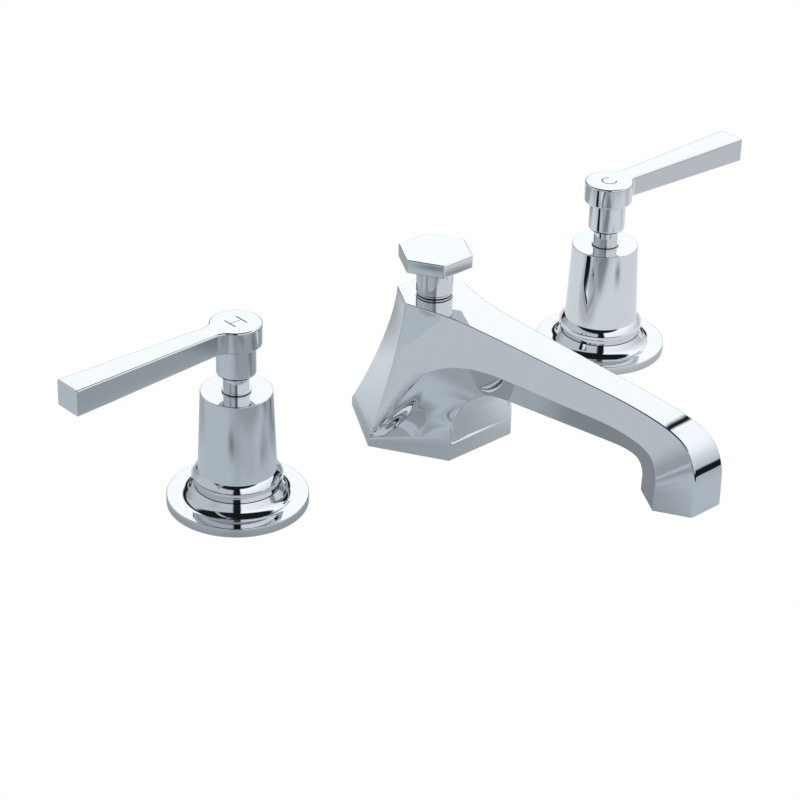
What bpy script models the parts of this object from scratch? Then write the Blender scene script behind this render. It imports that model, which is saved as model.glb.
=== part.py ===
"""Widespread bathroom faucet: two lever handles, a hexagonal spout and a lift knob.

Metres, +Z up. The deck's top is z = 0, the handles' axes cross the X axis, and the spout points to -Y.
"""

import math

import bmesh
import bpy
from mathutils import Vector

# Layout
HANDLE_SPREAD = 0.2032
SPOUT_FORWARD = 0.0015
DECK_THICKNESS = 0.030
GAP = 0.0003
OVERRUN = 0.0015
WELD_DISTANCE = 0.000002

# Facets
SHOWN_FACETS = 32
INNER_FACETS = 18
SMALL_FACETS = 12
HOLE_FACETS = 8
SHARP_ANGLE = math.radians(32)

# Escutcheon
ROSE_RADIUS = 0.0281
ROSE_RIM = 0.0034
ROSE_HEIGHT = 0.0085
ROSE_NECK_RADIUS = 0.0184
ROSE_BORE_RADIUS = 0.0146
ROSE_WALL = 0.0018

# Tapered sleeve
BEAD_RADIUS = 0.0182
BEAD_HEIGHT = 0.0036
SLEEVE_FOOT_RADIUS = 0.0155
SLEEVE_SWELL_TOP = 0.0160
SLEEVE_TOP_RADIUS = 0.0142
SLEEVE_TOP = 0.0497
SLEEVE_WALL = 0.0018
EDGE = 0.0004

# Valve body
VALVE_SEAL_THICKNESS = 0.0015
VALVE_FLANGE_RADIUS = 0.0171
VALVE_FLANGE_THICKNESS = 0.0020
VALVE_THREAD_RADIUS = 0.0128
VALVE_TOP = 0.0170
VALVE_SHANK_RADIUS = 0.0140
VALVE_PROJECTION = 0.0079
VALVE_BLOCK_RADIUS = 0.0136
VALVE_BLOCK_HEIGHT = 0.0160
INLET_RADIUS = 0.0103
INLET_LENGTH = 0.0140
INLET_BORE_RADIUS = 0.0050
RETURN_BORE_RADIUS = 0.0024
RETURN_BORE_OFFSET = 0.0106
CHAMBER_RADIUS = 0.0112
OUTLET_RADIUS = 0.0044
OUTLET_BORE_RADIUS = 0.0026
OUTLET_COLLAR_RADIUS = 0.0062
OUTLET_REACH = 0.0260

# Cartridge
CARTRIDGE_RADIUS = 0.0094
CARTRIDGE_DEPTH = 0.0230
CARTRIDGE_BORE_RADIUS = 0.0080
CARTRIDGE_HEAD_RADIUS = 0.0122
CARTRIDGE_HEAD_HEIGHT = 0.0050
CARTRIDGE_NECK_RADIUS = 0.0065
CARTRIDGE_NECK_HEIGHT = 0.0040
WINDOW_WIDTH = 0.0070
WINDOW_HEIGHT = 0.0032
DISC_THICKNESS = 0.0030
DISC_PORT_RADIUS = 0.0020
DISC_PORT_OFFSET = 0.0045
SEAT_SEAL_THICKNESS = 0.0032
SEAT_SEAL_BORE_RADIUS = 0.0066
SPINDLE_RADIUS = 0.0040
SPINDLE_LENGTH = 0.0580
DRIVE_WIDTH = 0.0040
DRIVE_DEPTH = 0.0012
DRIVE_HEIGHT = 0.0036
COLLAR_HEIGHT = 0.0028

# Stem adapter and bushing
STEM_RADIUS = 0.00515
STEM_LENGTH = 0.0230
STEM_RING_RADIUS = 0.00584
STEM_RING_HEIGHT = 0.0008
STEM_CAP = 0.0046
BUSHING_HEIGHT = 0.0024

# Lever handle
HUB_TOP = 0.0793
HUB_RADIUS = 0.0103
HUB_DEPTH = 0.0091
COLLAR_RADIUS = 0.0078
COLLAR_BOTTOM = 0.0569
COLLAR_ROUNDING = 0.0016
LEVER_REACH = 0.0784
LEVER_ROOT_WIDTH = 0.0088
LEVER_END_WIDTH = 0.0124
LEVER_END_DEPTH = 0.0108
LEVER_FILLET = 0.0060
LEVER_EDGE = 0.0005

# Under the deck
WASHER_THICKNESS = 0.0030
METAL_WASHER_THICKNESS = 0.0015
NUT_HEIGHT = 0.0110
VALVE_WASHER_RADIUS = 0.0200
VALVE_NUT_RADIUS = 0.0208
SPOUT_WASHER_RADIUS = 0.0230
SPOUT_NUT_RADIUS = 0.0237

# Spout foot and top
FOOT_RADIUS = 0.0348
PLINTH_HEIGHT = 0.0042
FRONT_PLINTH_HEIGHT = 0.0100
SPOUT_HEIGHT = 0.0596
PLATFORM_RADIUS = 0.0159

# Spout arm and nose
ARM_START = 0.0445
ARM_START_RADIUS = 0.0160
ARM_END_RADIUS = 0.0114
BEND_OUTER_RADIUS = 0.0195
BEND_INNER_RADIUS = 0.0080
BEND_NOSE_RADIUS = 0.0150
BEND_LEAD = 0.00045
NOSE_REACH = 0.1387
NOSE_RADIUS = 0.0153
NOSE_HEIGHT = 0.0270

# Spout passages
SHANK_RADIUS = 0.0155
SHANK_BORE_RADIUS = 0.0123
SHANK_PROJECTION = 0.0059
SHANK_ENGAGEMENT = 0.0160
GASKET_RADIUS = 0.0270
GASKET_BORE_RADIUS = 0.0170
GASKET_THICKNESS = 0.0024
TUBE_RADIUS = 0.0040
TUBE_BORE_RADIUS = 0.0030
TUBE_OFFSET = 0.0078
TUBE_ENGAGEMENT = 0.0085
TUBE_BEND = 0.0120
TUBE_DROP = 0.0280
WATERWAY_RADIUS = 0.0050
WATERWAY_START_RADIUS = 0.0036

# Tee fitting
TEE_RADIUS = 0.0080
TEE_HEIGHT = 0.0220
TEE_ARM_RADIUS = 0.0065
TEE_REACH = 0.0260
TEE_BORE_RADIUS = 0.0034
TEE_SOCKET_DEPTH = 0.0080

# Aerator
AERATOR_RADIUS = 0.0095
AERATOR_BORE_RADIUS = 0.0078
AERATOR_LIP_RADIUS = 0.0068
AERATOR_LIP_HEIGHT = 0.0012
AERATOR_HEIGHT = 0.0075
AERATOR_RECESS = 0.0005
SCREEN_THICKNESS = 0.0035
SCREEN_HOLE_RADIUS = 0.0012
SCREEN_HOLE_CIRCLE = 0.0044
AERATOR_WASHER_BORE_RADIUS = 0.0060
AERATOR_WASHER_THICKNESS = 0.0015

# Lift knob and rod
ROD_RADIUS = 0.0024
ROD_DROP = 0.1120
KNOB_RADIUS = 0.0158
KNOB_THICKNESS = 0.0058
KNOB_EDGE = 0.0006
KNOB_NECK_RADIUS = 0.0076
KNOB_NECK_HEIGHT = 0.0122
ROD_BUSHING_RADIUS = 0.0057
ROD_BUSHING_DEPTH = 0.0037
ROD_BUSHING_RIM_RADIUS = 0.0073
ROD_BUSHING_RIM_HEIGHT = 0.0007
ROD_SOCKET_DEPTH = 0.0090

# Shares that shape the outlines
ROSE_PROFILE_SHARES = ((0.53, 0.02), (0.80, 0.20), (0.94, 0.51), (0.99, 0.80), (1.0, 1.0))
BEAD_PROFILE_SHARES = ((0.72, 0.0), (0.93, 0.14), (1.0, 0.45), (0.93, 0.75), (0.72, 0.97))
SWELL_PROFILE_SHARES = ((1.20, 0.25), (0.85, 0.70), (0.0, 1.0))
COVE_FOOT_SHARES = (0.68, 0.20)
COVE_TOP_SHARES = (0.05, 0.70)
ARM_TOP_SHARES = (0.54, 0.545, 0.50)
ARM_DEPTH_SHARES = (1.64, 1.70)
ARM_MIDDLE_SHARES = (0.45, 0.50)
ARM_BOTTOM_SHARE = 0.49
TOP_EDGE_SHARES = ((0.76, 0.325), (1.02, 0.52))
MIDDLE_EDGE_SHARES = ((0.68, 0.045, 0.37), (1.36, 0.47, 0.80))
BOTTOM_EDGE_SHARES = ((1.0, 0.20), (1.08, 0.74, 0.99))
WATERWAY_SHARES = ((0.26, 0.62), (0.62, 0.78), (1.0, 0.83))
HEX_HALF_SHARE = 0.5
HEX_FLAT_SHARE = math.sqrt(3) / 2

# Steps along the lofted faces
ROOT_STEPS = 10
ARM_STEPS = 3
BEND_STEPS = 7
SIDE_ROWS = 5
ARC_STEPS = 4
BACK_STEPS = 18

# Places that several pieces share
VALVE_FLANGE_BOTTOM = VALVE_SEAL_THICKNESS + GAP
SLEEVE_BOTTOM = ROSE_HEIGHT + GAP
SOCKET_FLOOR = VALVE_TOP - CARTRIDGE_DEPTH - GAP
CARTRIDGE_BOTTOM = SOCKET_FLOOR + 2 * GAP
SEAT_SEAL_BOTTOM = SOCKET_FLOOR + GAP
FIXED_DISC_BOTTOM = SEAT_SEAL_BOTTOM + SEAT_SEAL_THICKNESS + GAP
MOVING_DISC_BOTTOM = FIXED_DISC_BOTTOM + DISC_THICKNESS + GAP
MOVING_DISC_TOP = MOVING_DISC_BOTTOM + DISC_THICKNESS
SPINDLE_BOTTOM = MOVING_DISC_TOP - DRIVE_DEPTH + GAP
SPINDLE_COLLAR_TOP = SPINDLE_BOTTOM + DRIVE_HEIGHT + COLLAR_HEIGHT
SPINDLE_TOP = SPINDLE_BOTTOM + SPINDLE_LENGTH
CARTRIDGE_HEAD_BOTTOM = VALVE_TOP + GAP
STEM_CLEAR_RADIUS = STEM_RADIUS + GAP
STEM_RING_BOTTOM = SLEEVE_TOP + GAP
STEM_TOP = SPINDLE_TOP + GAP + STEM_CAP
STEM_BOTTOM = STEM_TOP - STEM_LENGTH
RUBBER_TOP = -DECK_THICKNESS
METAL_TOP = RUBBER_TOP - WASHER_THICKNESS - GAP
NUT_TOP = METAL_TOP - METAL_WASHER_THICKNESS - GAP
NUT_BOTTOM = NUT_TOP - NUT_HEIGHT
BLOCK_TOP = NUT_BOTTOM - VALVE_PROJECTION
BLOCK_BOTTOM = BLOCK_TOP - VALVE_BLOCK_HEIGHT
OUTLET_LEVEL = (BLOCK_TOP + BLOCK_BOTTOM) / 2
SHANK_BOTTOM = NUT_BOTTOM - SHANK_PROJECTION
NOSE_BACK = NOSE_REACH - NOSE_RADIUS * HEX_FLAT_SHARE
NOSE_FRONT = NOSE_REACH + NOSE_RADIUS * HEX_FLAT_SHARE
ARM_END = NOSE_BACK - BEND_INNER_RADIUS - BEND_LEAD
SHANK_SOCKET_TOP = SHANK_ENGAGEMENT
TUBE_SOCKET_TOP = SHANK_SOCKET_TOP + TUBE_ENGAGEMENT
TUBE_TOP = TUBE_SOCKET_TOP - GAP
TUBE_BOTTOM = SHANK_BOTTOM - TUBE_DROP
TEE_TOP = TUBE_BOTTOM + TEE_SOCKET_DEPTH - GAP
TEE_BOTTOM = TEE_TOP - TEE_HEIGHT
TEE_LEVEL = TEE_BOTTOM + TEE_RADIUS
AERATOR_BOTTOM = NOSE_HEIGHT + AERATOR_RECESS
AERATOR_TOP = AERATOR_BOTTOM + AERATOR_HEIGHT
AERATOR_WASHER_TOP = AERATOR_TOP + GAP + AERATOR_WASHER_THICKNESS
AERATOR_CHAMBER_TOP = AERATOR_WASHER_TOP + GAP
SCREEN_BOTTOM = AERATOR_BOTTOM + AERATOR_LIP_HEIGHT + GAP
BUSHING_RIM_BOTTOM = SPOUT_HEIGHT + GAP
KNOB_BOTTOM = BUSHING_RIM_BOTTOM + ROD_BUSHING_RIM_HEIGHT + GAP
KNOB_TOP = KNOB_BOTTOM + KNOB_NECK_HEIGHT + KNOB_THICKNESS
ROD_TOP = KNOB_BOTTOM + ROD_SOCKET_DEPTH
ROD_CLEAR_RADIUS = ROD_RADIUS + GAP


def clear_scene():
    for item in list(bpy.data.objects):
        bpy.data.objects.remove(item, do_unlink=True)


def plain_material(name, colour, metallic, roughness):
    made = bpy.data.materials.new(name)
    made.use_nodes = True
    shader = made.node_tree.nodes["Principled BSDF"]
    shader.inputs["Base Color"].default_value = (*colour, 1)
    shader.inputs["Metallic"].default_value = metallic
    shader.inputs["Roughness"].default_value = roughness
    return made


def chrome(name):
    return plain_material(name, (0.78, 0.80, 0.82), 1.0, 0.08)


def brass(name):
    return plain_material(name, (0.72, 0.56, 0.28), 1.0, 0.30)


def steel(name):
    return plain_material(name, (0.60, 0.61, 0.62), 1.0, 0.35)


def rubber(name):
    return plain_material(name, (0.03, 0.03, 0.03), 0.0, 0.80)


def ceramic(name):
    return plain_material(name, (0.88, 0.86, 0.80), 0.0, 0.25)


def plastic(name):
    return plain_material(name, (0.82, 0.82, 0.80), 0.0, 0.45)


def finish_mesh(name, mesh, place, paint):
    """The bmesh as an object at its place, facing out, smooth but for its sharp edges."""
    bmesh.ops.recalc_face_normals(mesh, faces=mesh.faces)
    data = bpy.data.meshes.new(name)
    mesh.to_mesh(data)
    mesh.free()
    data.shade_smooth()
    data.set_sharp_from_angle(angle=SHARP_ANGLE)
    made = bpy.data.objects.new(name, data)
    made.location = place
    bpy.context.scene.collection.objects.link(made)
    if paint:
        data.materials.append(paint(name))
    return made


def revolve(name, outline, facets, place=(0, 0, 0), paint=None):
    """A closed outline of (radius, height) points turned round the vertical axis."""
    mesh = bmesh.new()
    rings = []
    for radius, height in outline:
        if radius == 0:
            rings.append([mesh.verts.new((0, 0, height))] * facets)
            continue
        angles = [math.tau * i / facets for i in range(facets)]
        rings.append([mesh.verts.new((radius * math.cos(a), radius * math.sin(a), height)) for a in angles])
    for lower, upper in zip(rings, rings[1:] + rings[:1]):
        for i in range(facets):
            j = (i + 1) % facets
            corners = list(dict.fromkeys((lower[i], lower[j], upper[j], upper[i])))
            if len(corners) > 2:
                mesh.faces.new(corners)
    return finish_mesh(name, mesh, place, paint)


def loft(name, rings, place=(0, 0, 0), paint=None):
    """A skin over rings of the same number of points, capped at both ends."""
    mesh = bmesh.new()
    rows = [[mesh.verts.new(point) for point in ring] for ring in rings]
    count = len(rows[0])
    for lower, upper in zip(rows, rows[1:]):
        for i in range(count):
            j = (i + 1) % count
            mesh.faces.new((lower[i], lower[j], upper[j], upper[i]))
    mesh.faces.new(rows[0][::-1])
    mesh.faces.new(rows[-1])
    return finish_mesh(name, mesh, place, paint)


def circle(radius, height, facets):
    angles = [math.tau * i / facets for i in range(facets)]
    return [Vector((radius * math.cos(a), radius * math.sin(a), height)) for a in angles]


def cylinder(name, radius, low, high, facets, place=(0, 0, 0), paint=None):
    return loft(name, [circle(radius, low, facets), circle(radius, high, facets)], place, paint)


def ring(name, bore, radius, low, high, facets, place=(0, 0, 0), paint=None):
    outline = [(bore, low), (radius, low), (radius, high), (bore, high)]
    return revolve(name, outline, facets, place, paint)


def hexagon(radius, height):
    """The corners of a regular hexagon with two of them on the X axis."""
    return circle(radius, height, 6)


def hexagonal_prism(name, radius, low, high, edge=0, place=(0, 0, 0), paint=None):
    """A hexagonal bar with a bevel of the given size round its top."""
    rings = [hexagon(radius, low), hexagon(radius, high - edge)]
    if edge:
        rings.append(hexagon(radius - edge / HEX_FLAT_SHARE, high))
    return loft(name, rings, place, paint)


def box(name, size, centre, place=(0, 0, 0), paint=None):
    x, y, z = (side / 2 for side in size)
    corners = ((-x, -y), (x, -y), (x, y), (-x, y))
    rings = [[Vector(centre) + Vector((a, b, level)) for a, b in corners] for level in (-z, z)]
    return loft(name, rings, place, paint)


def lay_along_x(item, at):
    """Turns a piece made round the vertical axis so that it lies along X, through the given point."""
    item.rotation_euler = (0, math.pi / 2, 0)
    item.location = at
    return item


def combine(target, other, operation):
    """A live Boolean whose other object is kept out of the view and the render."""
    modifier = target.modifiers.new(operation.title(), "BOOLEAN")
    modifier.operation = operation
    modifier.solver = "EXACT"
    modifier.object = other
    other.hide_render = True
    other.display_type = "WIRE"


def cut(target, *cutters):
    for cutter in cutters:
        combine(target, cutter, "DIFFERENCE")


def fuse(target, *others):
    for other in others:
        combine(target, other, "UNION")


def between(start, end, share):
    return start + (end - start) * share


def bezier(points, steps):
    """Points along a cubic curve through the first and last of four control points."""
    a, b, c, d = (Vector(point) for point in points)
    curve = []
    for i in range(steps + 1):
        t = i / steps
        curve.append((1 - t) ** 3 * a + 3 * (1 - t) ** 2 * t * b + 3 * (1 - t) * t**2 * c + t**3 * d)
    return curve


def arc(centre, radius, start, end, steps):
    """Points (x, y) along an arc, angles in radians."""
    angles = [between(start, end, i / steps) for i in range(steps + 1)]
    return [(centre[0] + radius * math.cos(a), centre[1] + radius * math.sin(a)) for a in angles]


def tube_rings(path, radii, facets):
    """Rings square to a path that stays in a plane of constant x, one radius for each of its points."""
    rings = []
    for i, (point, radius) in enumerate(zip(path, radii)):
        before = path[max(i - 1, 0)]
        after = path[min(i + 1, len(path) - 1)]
        along = (after - before).normalized()
        across = Vector((1, 0, 0))
        upward = along.cross(across)
        angles = [math.tau * k / facets for k in range(facets)]
        rings.append([point + radius * (math.cos(a) * across + math.sin(a) * upward) for a in angles])
    return rings


def escutcheon(name, place):
    """The round rose: a rim, a cove that rises to a neck, and a hollow underside."""
    top = [
        (between(ROSE_RADIUS, ROSE_NECK_RADIUS, across), between(ROSE_RIM + EDGE, ROSE_HEIGHT, up))
        for across, up in ROSE_PROFILE_SHARES
    ]
    skirt_bore = ROSE_RADIUS - ROSE_WALL
    hollow_top = ROSE_RIM - ROSE_WALL
    clear_bore = VALVE_FLANGE_RADIUS + GAP
    outline = [(skirt_bore, 0), (ROSE_RADIUS, 0), (ROSE_RADIUS, ROSE_RIM), (ROSE_RADIUS - EDGE, ROSE_RIM + EDGE)]
    outline += top
    outline += [
        (ROSE_BORE_RADIUS, ROSE_HEIGHT),
        (ROSE_BORE_RADIUS, ROSE_HEIGHT - ROSE_WALL),
        (clear_bore, ROSE_HEIGHT - 2 * ROSE_WALL),
        (clear_bore + ROSE_WALL, hollow_top),
        (skirt_bore, hollow_top),
    ]
    return revolve(name, outline, SHOWN_FACETS, place, chrome)


def sleeve_bore(height):
    """The sleeve's inner radius at a height above the swell, one wall in from its taper."""
    share = (height - SLEEVE_SWELL_TOP) / (SLEEVE_TOP - SLEEVE_SWELL_TOP)
    return between(SLEEVE_FOOT_RADIUS, SLEEVE_TOP_RADIUS, share) - SLEEVE_WALL


def sleeve(name, place):
    """The tapered body above the rose, with a bead and a swell at its foot and a flat top."""
    bead_inner = ROSE_NECK_RADIUS - 2 * SLEEVE_WALL
    bead = [
        (between(bead_inner, BEAD_RADIUS, out), SLEEVE_BOTTOM + BEAD_HEIGHT * up)
        for out, up in BEAD_PROFILE_SHARES
    ]
    waist = bead[-1]
    swell = [
        (between(SLEEVE_FOOT_RADIUS, waist[0], out), between(waist[1], SLEEVE_SWELL_TOP, up))
        for out, up in SWELL_PROFILE_SHARES
    ]
    under_plate = SLEEVE_TOP - SLEEVE_WALL
    outline = bead + swell
    outline += [
        (SLEEVE_TOP_RADIUS, SLEEVE_TOP - EDGE),
        (SLEEVE_TOP_RADIUS - EDGE, SLEEVE_TOP),
        (STEM_CLEAR_RADIUS, SLEEVE_TOP),
        (STEM_CLEAR_RADIUS, under_plate),
        (sleeve_bore(under_plate), under_plate),
        (sleeve_bore(SLEEVE_SWELL_TOP), SLEEVE_SWELL_TOP),
        (VALVE_THREAD_RADIUS + GAP, SLEEVE_SWELL_TOP - EDGE),
        (VALVE_THREAD_RADIUS + GAP, SLEEVE_BOTTOM),
    ]
    return revolve(name, outline, SHOWN_FACETS, place, chrome)


def stem_bushing(name, place):
    top = SLEEVE_TOP - SLEEVE_WALL - GAP
    bottom = top - BUSHING_HEIGHT
    return ring(name, STEM_CLEAR_RADIUS, sleeve_bore(top) - GAP, bottom, top, INNER_FACETS, place, plastic)


def valve_body(name, place, inward):
    """The brass body: threads above and below the deck, the cartridge's socket and two water passages."""
    flange_top = VALVE_FLANGE_BOTTOM + VALVE_FLANGE_THICKNESS
    chamber_top = flange_top + VALVE_FLANGE_THICKNESS
    chamber_bottom = FIXED_DISC_BOTTOM + EDGE
    socket = CARTRIDGE_RADIUS + GAP
    inlet_bottom = BLOCK_BOTTOM - INLET_LENGTH
    outline = [
        (INLET_BORE_RADIUS, inlet_bottom),
        (INLET_RADIUS, inlet_bottom),
        (INLET_RADIUS, BLOCK_BOTTOM),
        (VALVE_BLOCK_RADIUS, BLOCK_BOTTOM),
        (VALVE_BLOCK_RADIUS, BLOCK_TOP),
        (VALVE_SHANK_RADIUS, BLOCK_TOP),
        (VALVE_SHANK_RADIUS, VALVE_FLANGE_BOTTOM),
        (VALVE_FLANGE_RADIUS, VALVE_FLANGE_BOTTOM),
        (VALVE_FLANGE_RADIUS, flange_top),
        (VALVE_THREAD_RADIUS, flange_top),
        (VALVE_THREAD_RADIUS, VALVE_TOP),
        (socket, VALVE_TOP),
        (socket, chamber_top),
        (CHAMBER_RADIUS, chamber_top),
        (CHAMBER_RADIUS, chamber_bottom),
        (socket, chamber_bottom),
        (socket, SOCKET_FLOOR),
        (INLET_BORE_RADIUS, SOCKET_FLOOR),
    ]
    made = revolve(name, outline, INNER_FACETS, place, brass)
    return_place = Vector(place) + Vector((inward * RETURN_BORE_OFFSET, 0, 0))
    low = OUTLET_LEVEL - RETURN_BORE_RADIUS
    high = chamber_bottom + OVERRUN
    passage = cylinder(name + "_return_cutter", RETURN_BORE_RADIUS, low, high, SMALL_FACETS, return_place)
    reach = VALVE_BLOCK_RADIUS - RETURN_BORE_OFFSET + OVERRUN
    port = cylinder(name + "_port_cutter", OUTLET_RADIUS + GAP, -reach / 2, reach / 2, SMALL_FACETS)
    middle = RETURN_BORE_OFFSET + reach / 2
    lay_along_x(port, Vector(place) + Vector((inward * middle, 0, OUTLET_LEVEL)))
    cut(made, passage, port)
    return made


def outlet_nipple(name, place, inward):
    """The screwed-in outlet that the hose to the spout's tee fits on."""
    start = RETURN_BORE_OFFSET + GAP
    block = VALVE_BLOCK_RADIUS + GAP
    collar_end = block + OUTLET_COLLAR_RADIUS / 2
    outline = [
        (OUTLET_BORE_RADIUS, start),
        (OUTLET_RADIUS, start),
        (OUTLET_RADIUS, block),
        (OUTLET_COLLAR_RADIUS, block),
        (OUTLET_COLLAR_RADIUS, collar_end),
        (OUTLET_RADIUS, collar_end),
        (OUTLET_RADIUS, OUTLET_REACH),
        (OUTLET_BORE_RADIUS, OUTLET_REACH),
    ]
    made = revolve(name, outline, SMALL_FACETS, place, brass)
    made.rotation_euler = (0, inward * math.pi / 2, 0)
    made.location = Vector(place) + Vector((0, 0, OUTLET_LEVEL))
    return made


def cartridge(name, place):
    """The cartridge housing: a hexagonal head, a bore for the discs and two windows."""
    shoulder = SPINDLE_COLLAR_TOP + GAP
    head_top = CARTRIDGE_HEAD_BOTTOM + CARTRIDGE_HEAD_HEIGHT
    neck_top = head_top + CARTRIDGE_NECK_HEIGHT
    outline = [
        (CARTRIDGE_BORE_RADIUS, CARTRIDGE_BOTTOM),
        (CARTRIDGE_RADIUS, CARTRIDGE_BOTTOM),
        (CARTRIDGE_RADIUS, head_top - EDGE),
        (CARTRIDGE_NECK_RADIUS, head_top - EDGE),
        (CARTRIDGE_NECK_RADIUS, neck_top),
        (SPINDLE_RADIUS + GAP, neck_top),
        (SPINDLE_RADIUS + GAP, shoulder),
        (CARTRIDGE_BORE_RADIUS, shoulder),
    ]
    made = revolve(name, outline, INNER_FACETS, place, brass)
    head = hexagonal_prism(name + "_head", CARTRIDGE_HEAD_RADIUS, CARTRIDGE_HEAD_BOTTOM, head_top, 0, place)
    core = cylinder(name + "_core_cutter", CARTRIDGE_NECK_RADIUS - EDGE, VALVE_TOP, head_top + EDGE, INNER_FACETS, place)
    cut(head, core)
    window_size = (2 * CARTRIDGE_RADIUS + OVERRUN, WINDOW_WIDTH, WINDOW_HEIGHT)
    centre = (0, 0, MOVING_DISC_TOP + WINDOW_HEIGHT / 2)
    windows = box(name + "_window_cutter", window_size, centre, place)
    fuse(made, head)
    cut(made, windows)
    return made


def seat_seal(name, place):
    top = SEAT_SEAL_BOTTOM + SEAT_SEAL_THICKNESS
    radius = CARTRIDGE_BORE_RADIUS - GAP
    return ring(name, SEAT_SEAL_BORE_RADIUS, radius, SEAT_SEAL_BOTTOM, top, INNER_FACETS, place, rubber)


def ported_disc(name, bottom, place, angle):
    """A ceramic disc with two ports either side of its middle."""
    top = bottom + DISC_THICKNESS
    made = cylinder(name, CARTRIDGE_BORE_RADIUS - GAP, bottom, top, INNER_FACETS, place, ceramic)
    low = bottom - OVERRUN
    high = top + OVERRUN
    for side in (-1, 1):
        away = side * DISC_PORT_OFFSET
        centre = Vector(place) + Vector((away * math.cos(angle), away * math.sin(angle), 0))
        port = cylinder(f"{name}_port_cutter_{side + 1}", DISC_PORT_RADIUS, low, high, SMALL_FACETS, centre)
        cut(made, port)
    return made


def moving_disc(name, place):
    """The disc that the spindle turns by a slot in its top."""
    made = ported_disc(name, MOVING_DISC_BOTTOM, place, math.pi / 2)
    size = (2 * CARTRIDGE_BORE_RADIUS, DRIVE_WIDTH + 2 * GAP, DRIVE_DEPTH + OVERRUN)
    centre = (0, 0, MOVING_DISC_TOP - DRIVE_DEPTH + size[2] / 2)
    cut(made, box(name + "_slot_cutter", size, centre, place))
    return made


def spindle(name, place):
    """The cartridge's shaft, with the bar below its collar that drives the disc."""
    collar_bottom = SPINDLE_BOTTOM + DRIVE_HEIGHT
    radius = CARTRIDGE_BORE_RADIUS - GAP
    outline = [
        (0, collar_bottom),
        (radius, collar_bottom),
        (radius, SPINDLE_COLLAR_TOP),
        (SPINDLE_RADIUS, SPINDLE_COLLAR_TOP),
        (SPINDLE_RADIUS, SPINDLE_TOP),
        (0, SPINDLE_TOP),
    ]
    made = revolve(name, outline, INNER_FACETS, place, brass)
    height = DRIVE_HEIGHT + COLLAR_HEIGHT / 2
    size = (2 * (radius - EDGE) * HEX_FLAT_SHARE, DRIVE_WIDTH, height)
    bar = box(name + "_bar", size, (0, 0, SPINDLE_BOTTOM + height / 2), place)
    fuse(made, bar)
    return made


def stem_adapter(name, place):
    """The bright stem between the sleeve and the handle, bored for the spindle."""
    outline = [
        (0, STEM_TOP - STEM_CAP),
        (SPINDLE_RADIUS + GAP, STEM_TOP - STEM_CAP),
        (SPINDLE_RADIUS + GAP, STEM_BOTTOM),
        (STEM_RADIUS, STEM_BOTTOM),
        (STEM_RADIUS, STEM_RING_BOTTOM),
        (STEM_RING_RADIUS, STEM_RING_BOTTOM),
        (STEM_RING_RADIUS, STEM_RING_BOTTOM + STEM_RING_HEIGHT),
        (STEM_RADIUS, STEM_RING_BOTTOM + STEM_RING_HEIGHT),
        (STEM_RADIUS, STEM_TOP),
        (0, STEM_TOP),
    ]
    return revolve(name, outline, INNER_FACETS, place, chrome)


def lever_outline(inset=0):
    """The hub and lever seen from above, lever along +X, with a fillet where they meet."""
    hub = HUB_RADIUS - inset
    fillet = LEVER_FILLET + inset
    root = LEVER_ROOT_WIDTH / 2 - inset
    across = root + fillet
    along = math.sqrt((hub + fillet) ** 2 - across**2)
    meet = math.atan2(across, along)
    back = arc((0, 0), hub, meet, math.tau - meet, BACK_STEPS)
    upper = arc((along, across), fillet, -math.pi / 2, meet - math.pi, ARC_STEPS)
    upper = upper[:-1]
    end = LEVER_REACH - inset
    half = LEVER_END_WIDTH / 2 - inset
    lower = [(x, -y) for x, y in reversed(upper)]
    return [(end, half)] + upper + back + lower + [(end, -half)]


def lever_underside(x):
    """The height of the lever's underside, which drops toward its end."""
    share = max(x, 0) / LEVER_REACH
    return HUB_TOP - between(HUB_DEPTH, LEVER_END_DEPTH, share)


def lever_handle(name, place, outward):
    """The cast handle: an upper hub with the lever, a collar below it and a blind bore for the stem."""
    inner = lever_outline(LEVER_EDGE)
    outer = lever_outline()
    rings = [
        [(outward * x, y, lever_underside(x)) for x, y in inner],
        [(outward * x, y, lever_underside(x) + LEVER_EDGE) for x, y in outer],
        [(outward * x, y, HUB_TOP - LEVER_EDGE) for x, y in outer],
        [(outward * x, y, HUB_TOP) for x, y in inner],
    ]
    made = loft(name, rings, place, chrome)
    collar_top = HUB_TOP - HUB_DEPTH - EDGE
    outline = [
        (0, COLLAR_BOTTOM),
        (COLLAR_RADIUS - COLLAR_ROUNDING, COLLAR_BOTTOM),
        (COLLAR_RADIUS - COLLAR_ROUNDING / 3, COLLAR_BOTTOM + COLLAR_ROUNDING / 3),
        (COLLAR_RADIUS, COLLAR_BOTTOM + COLLAR_ROUNDING),
        (COLLAR_RADIUS, collar_top - EDGE),
        (HUB_RADIUS - 2 * EDGE, collar_top + 2 * EDGE),
        (HUB_RADIUS - 2 * EDGE, HUB_TOP - HUB_DEPTH / 2),
        (0, HUB_TOP - HUB_DEPTH / 2),
    ]
    collar = revolve(name + "_collar", outline, SHOWN_FACETS, place)
    low = COLLAR_BOTTOM - OVERRUN
    bore = cylinder(name + "_bore_cutter", STEM_CLEAR_RADIUS, low, STEM_TOP + GAP, INNER_FACETS, place)
    fuse(made, collar)
    cut(made, bore)
    return made


def hexagonal_nut(name, radius, bore, place):
    made = hexagonal_prism(name, radius, NUT_BOTTOM, NUT_TOP, 0, place, brass)
    cut(made, cylinder(name + "_cutter", bore, NUT_BOTTOM - OVERRUN, NUT_TOP + OVERRUN, INNER_FACETS, place))
    return made


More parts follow.
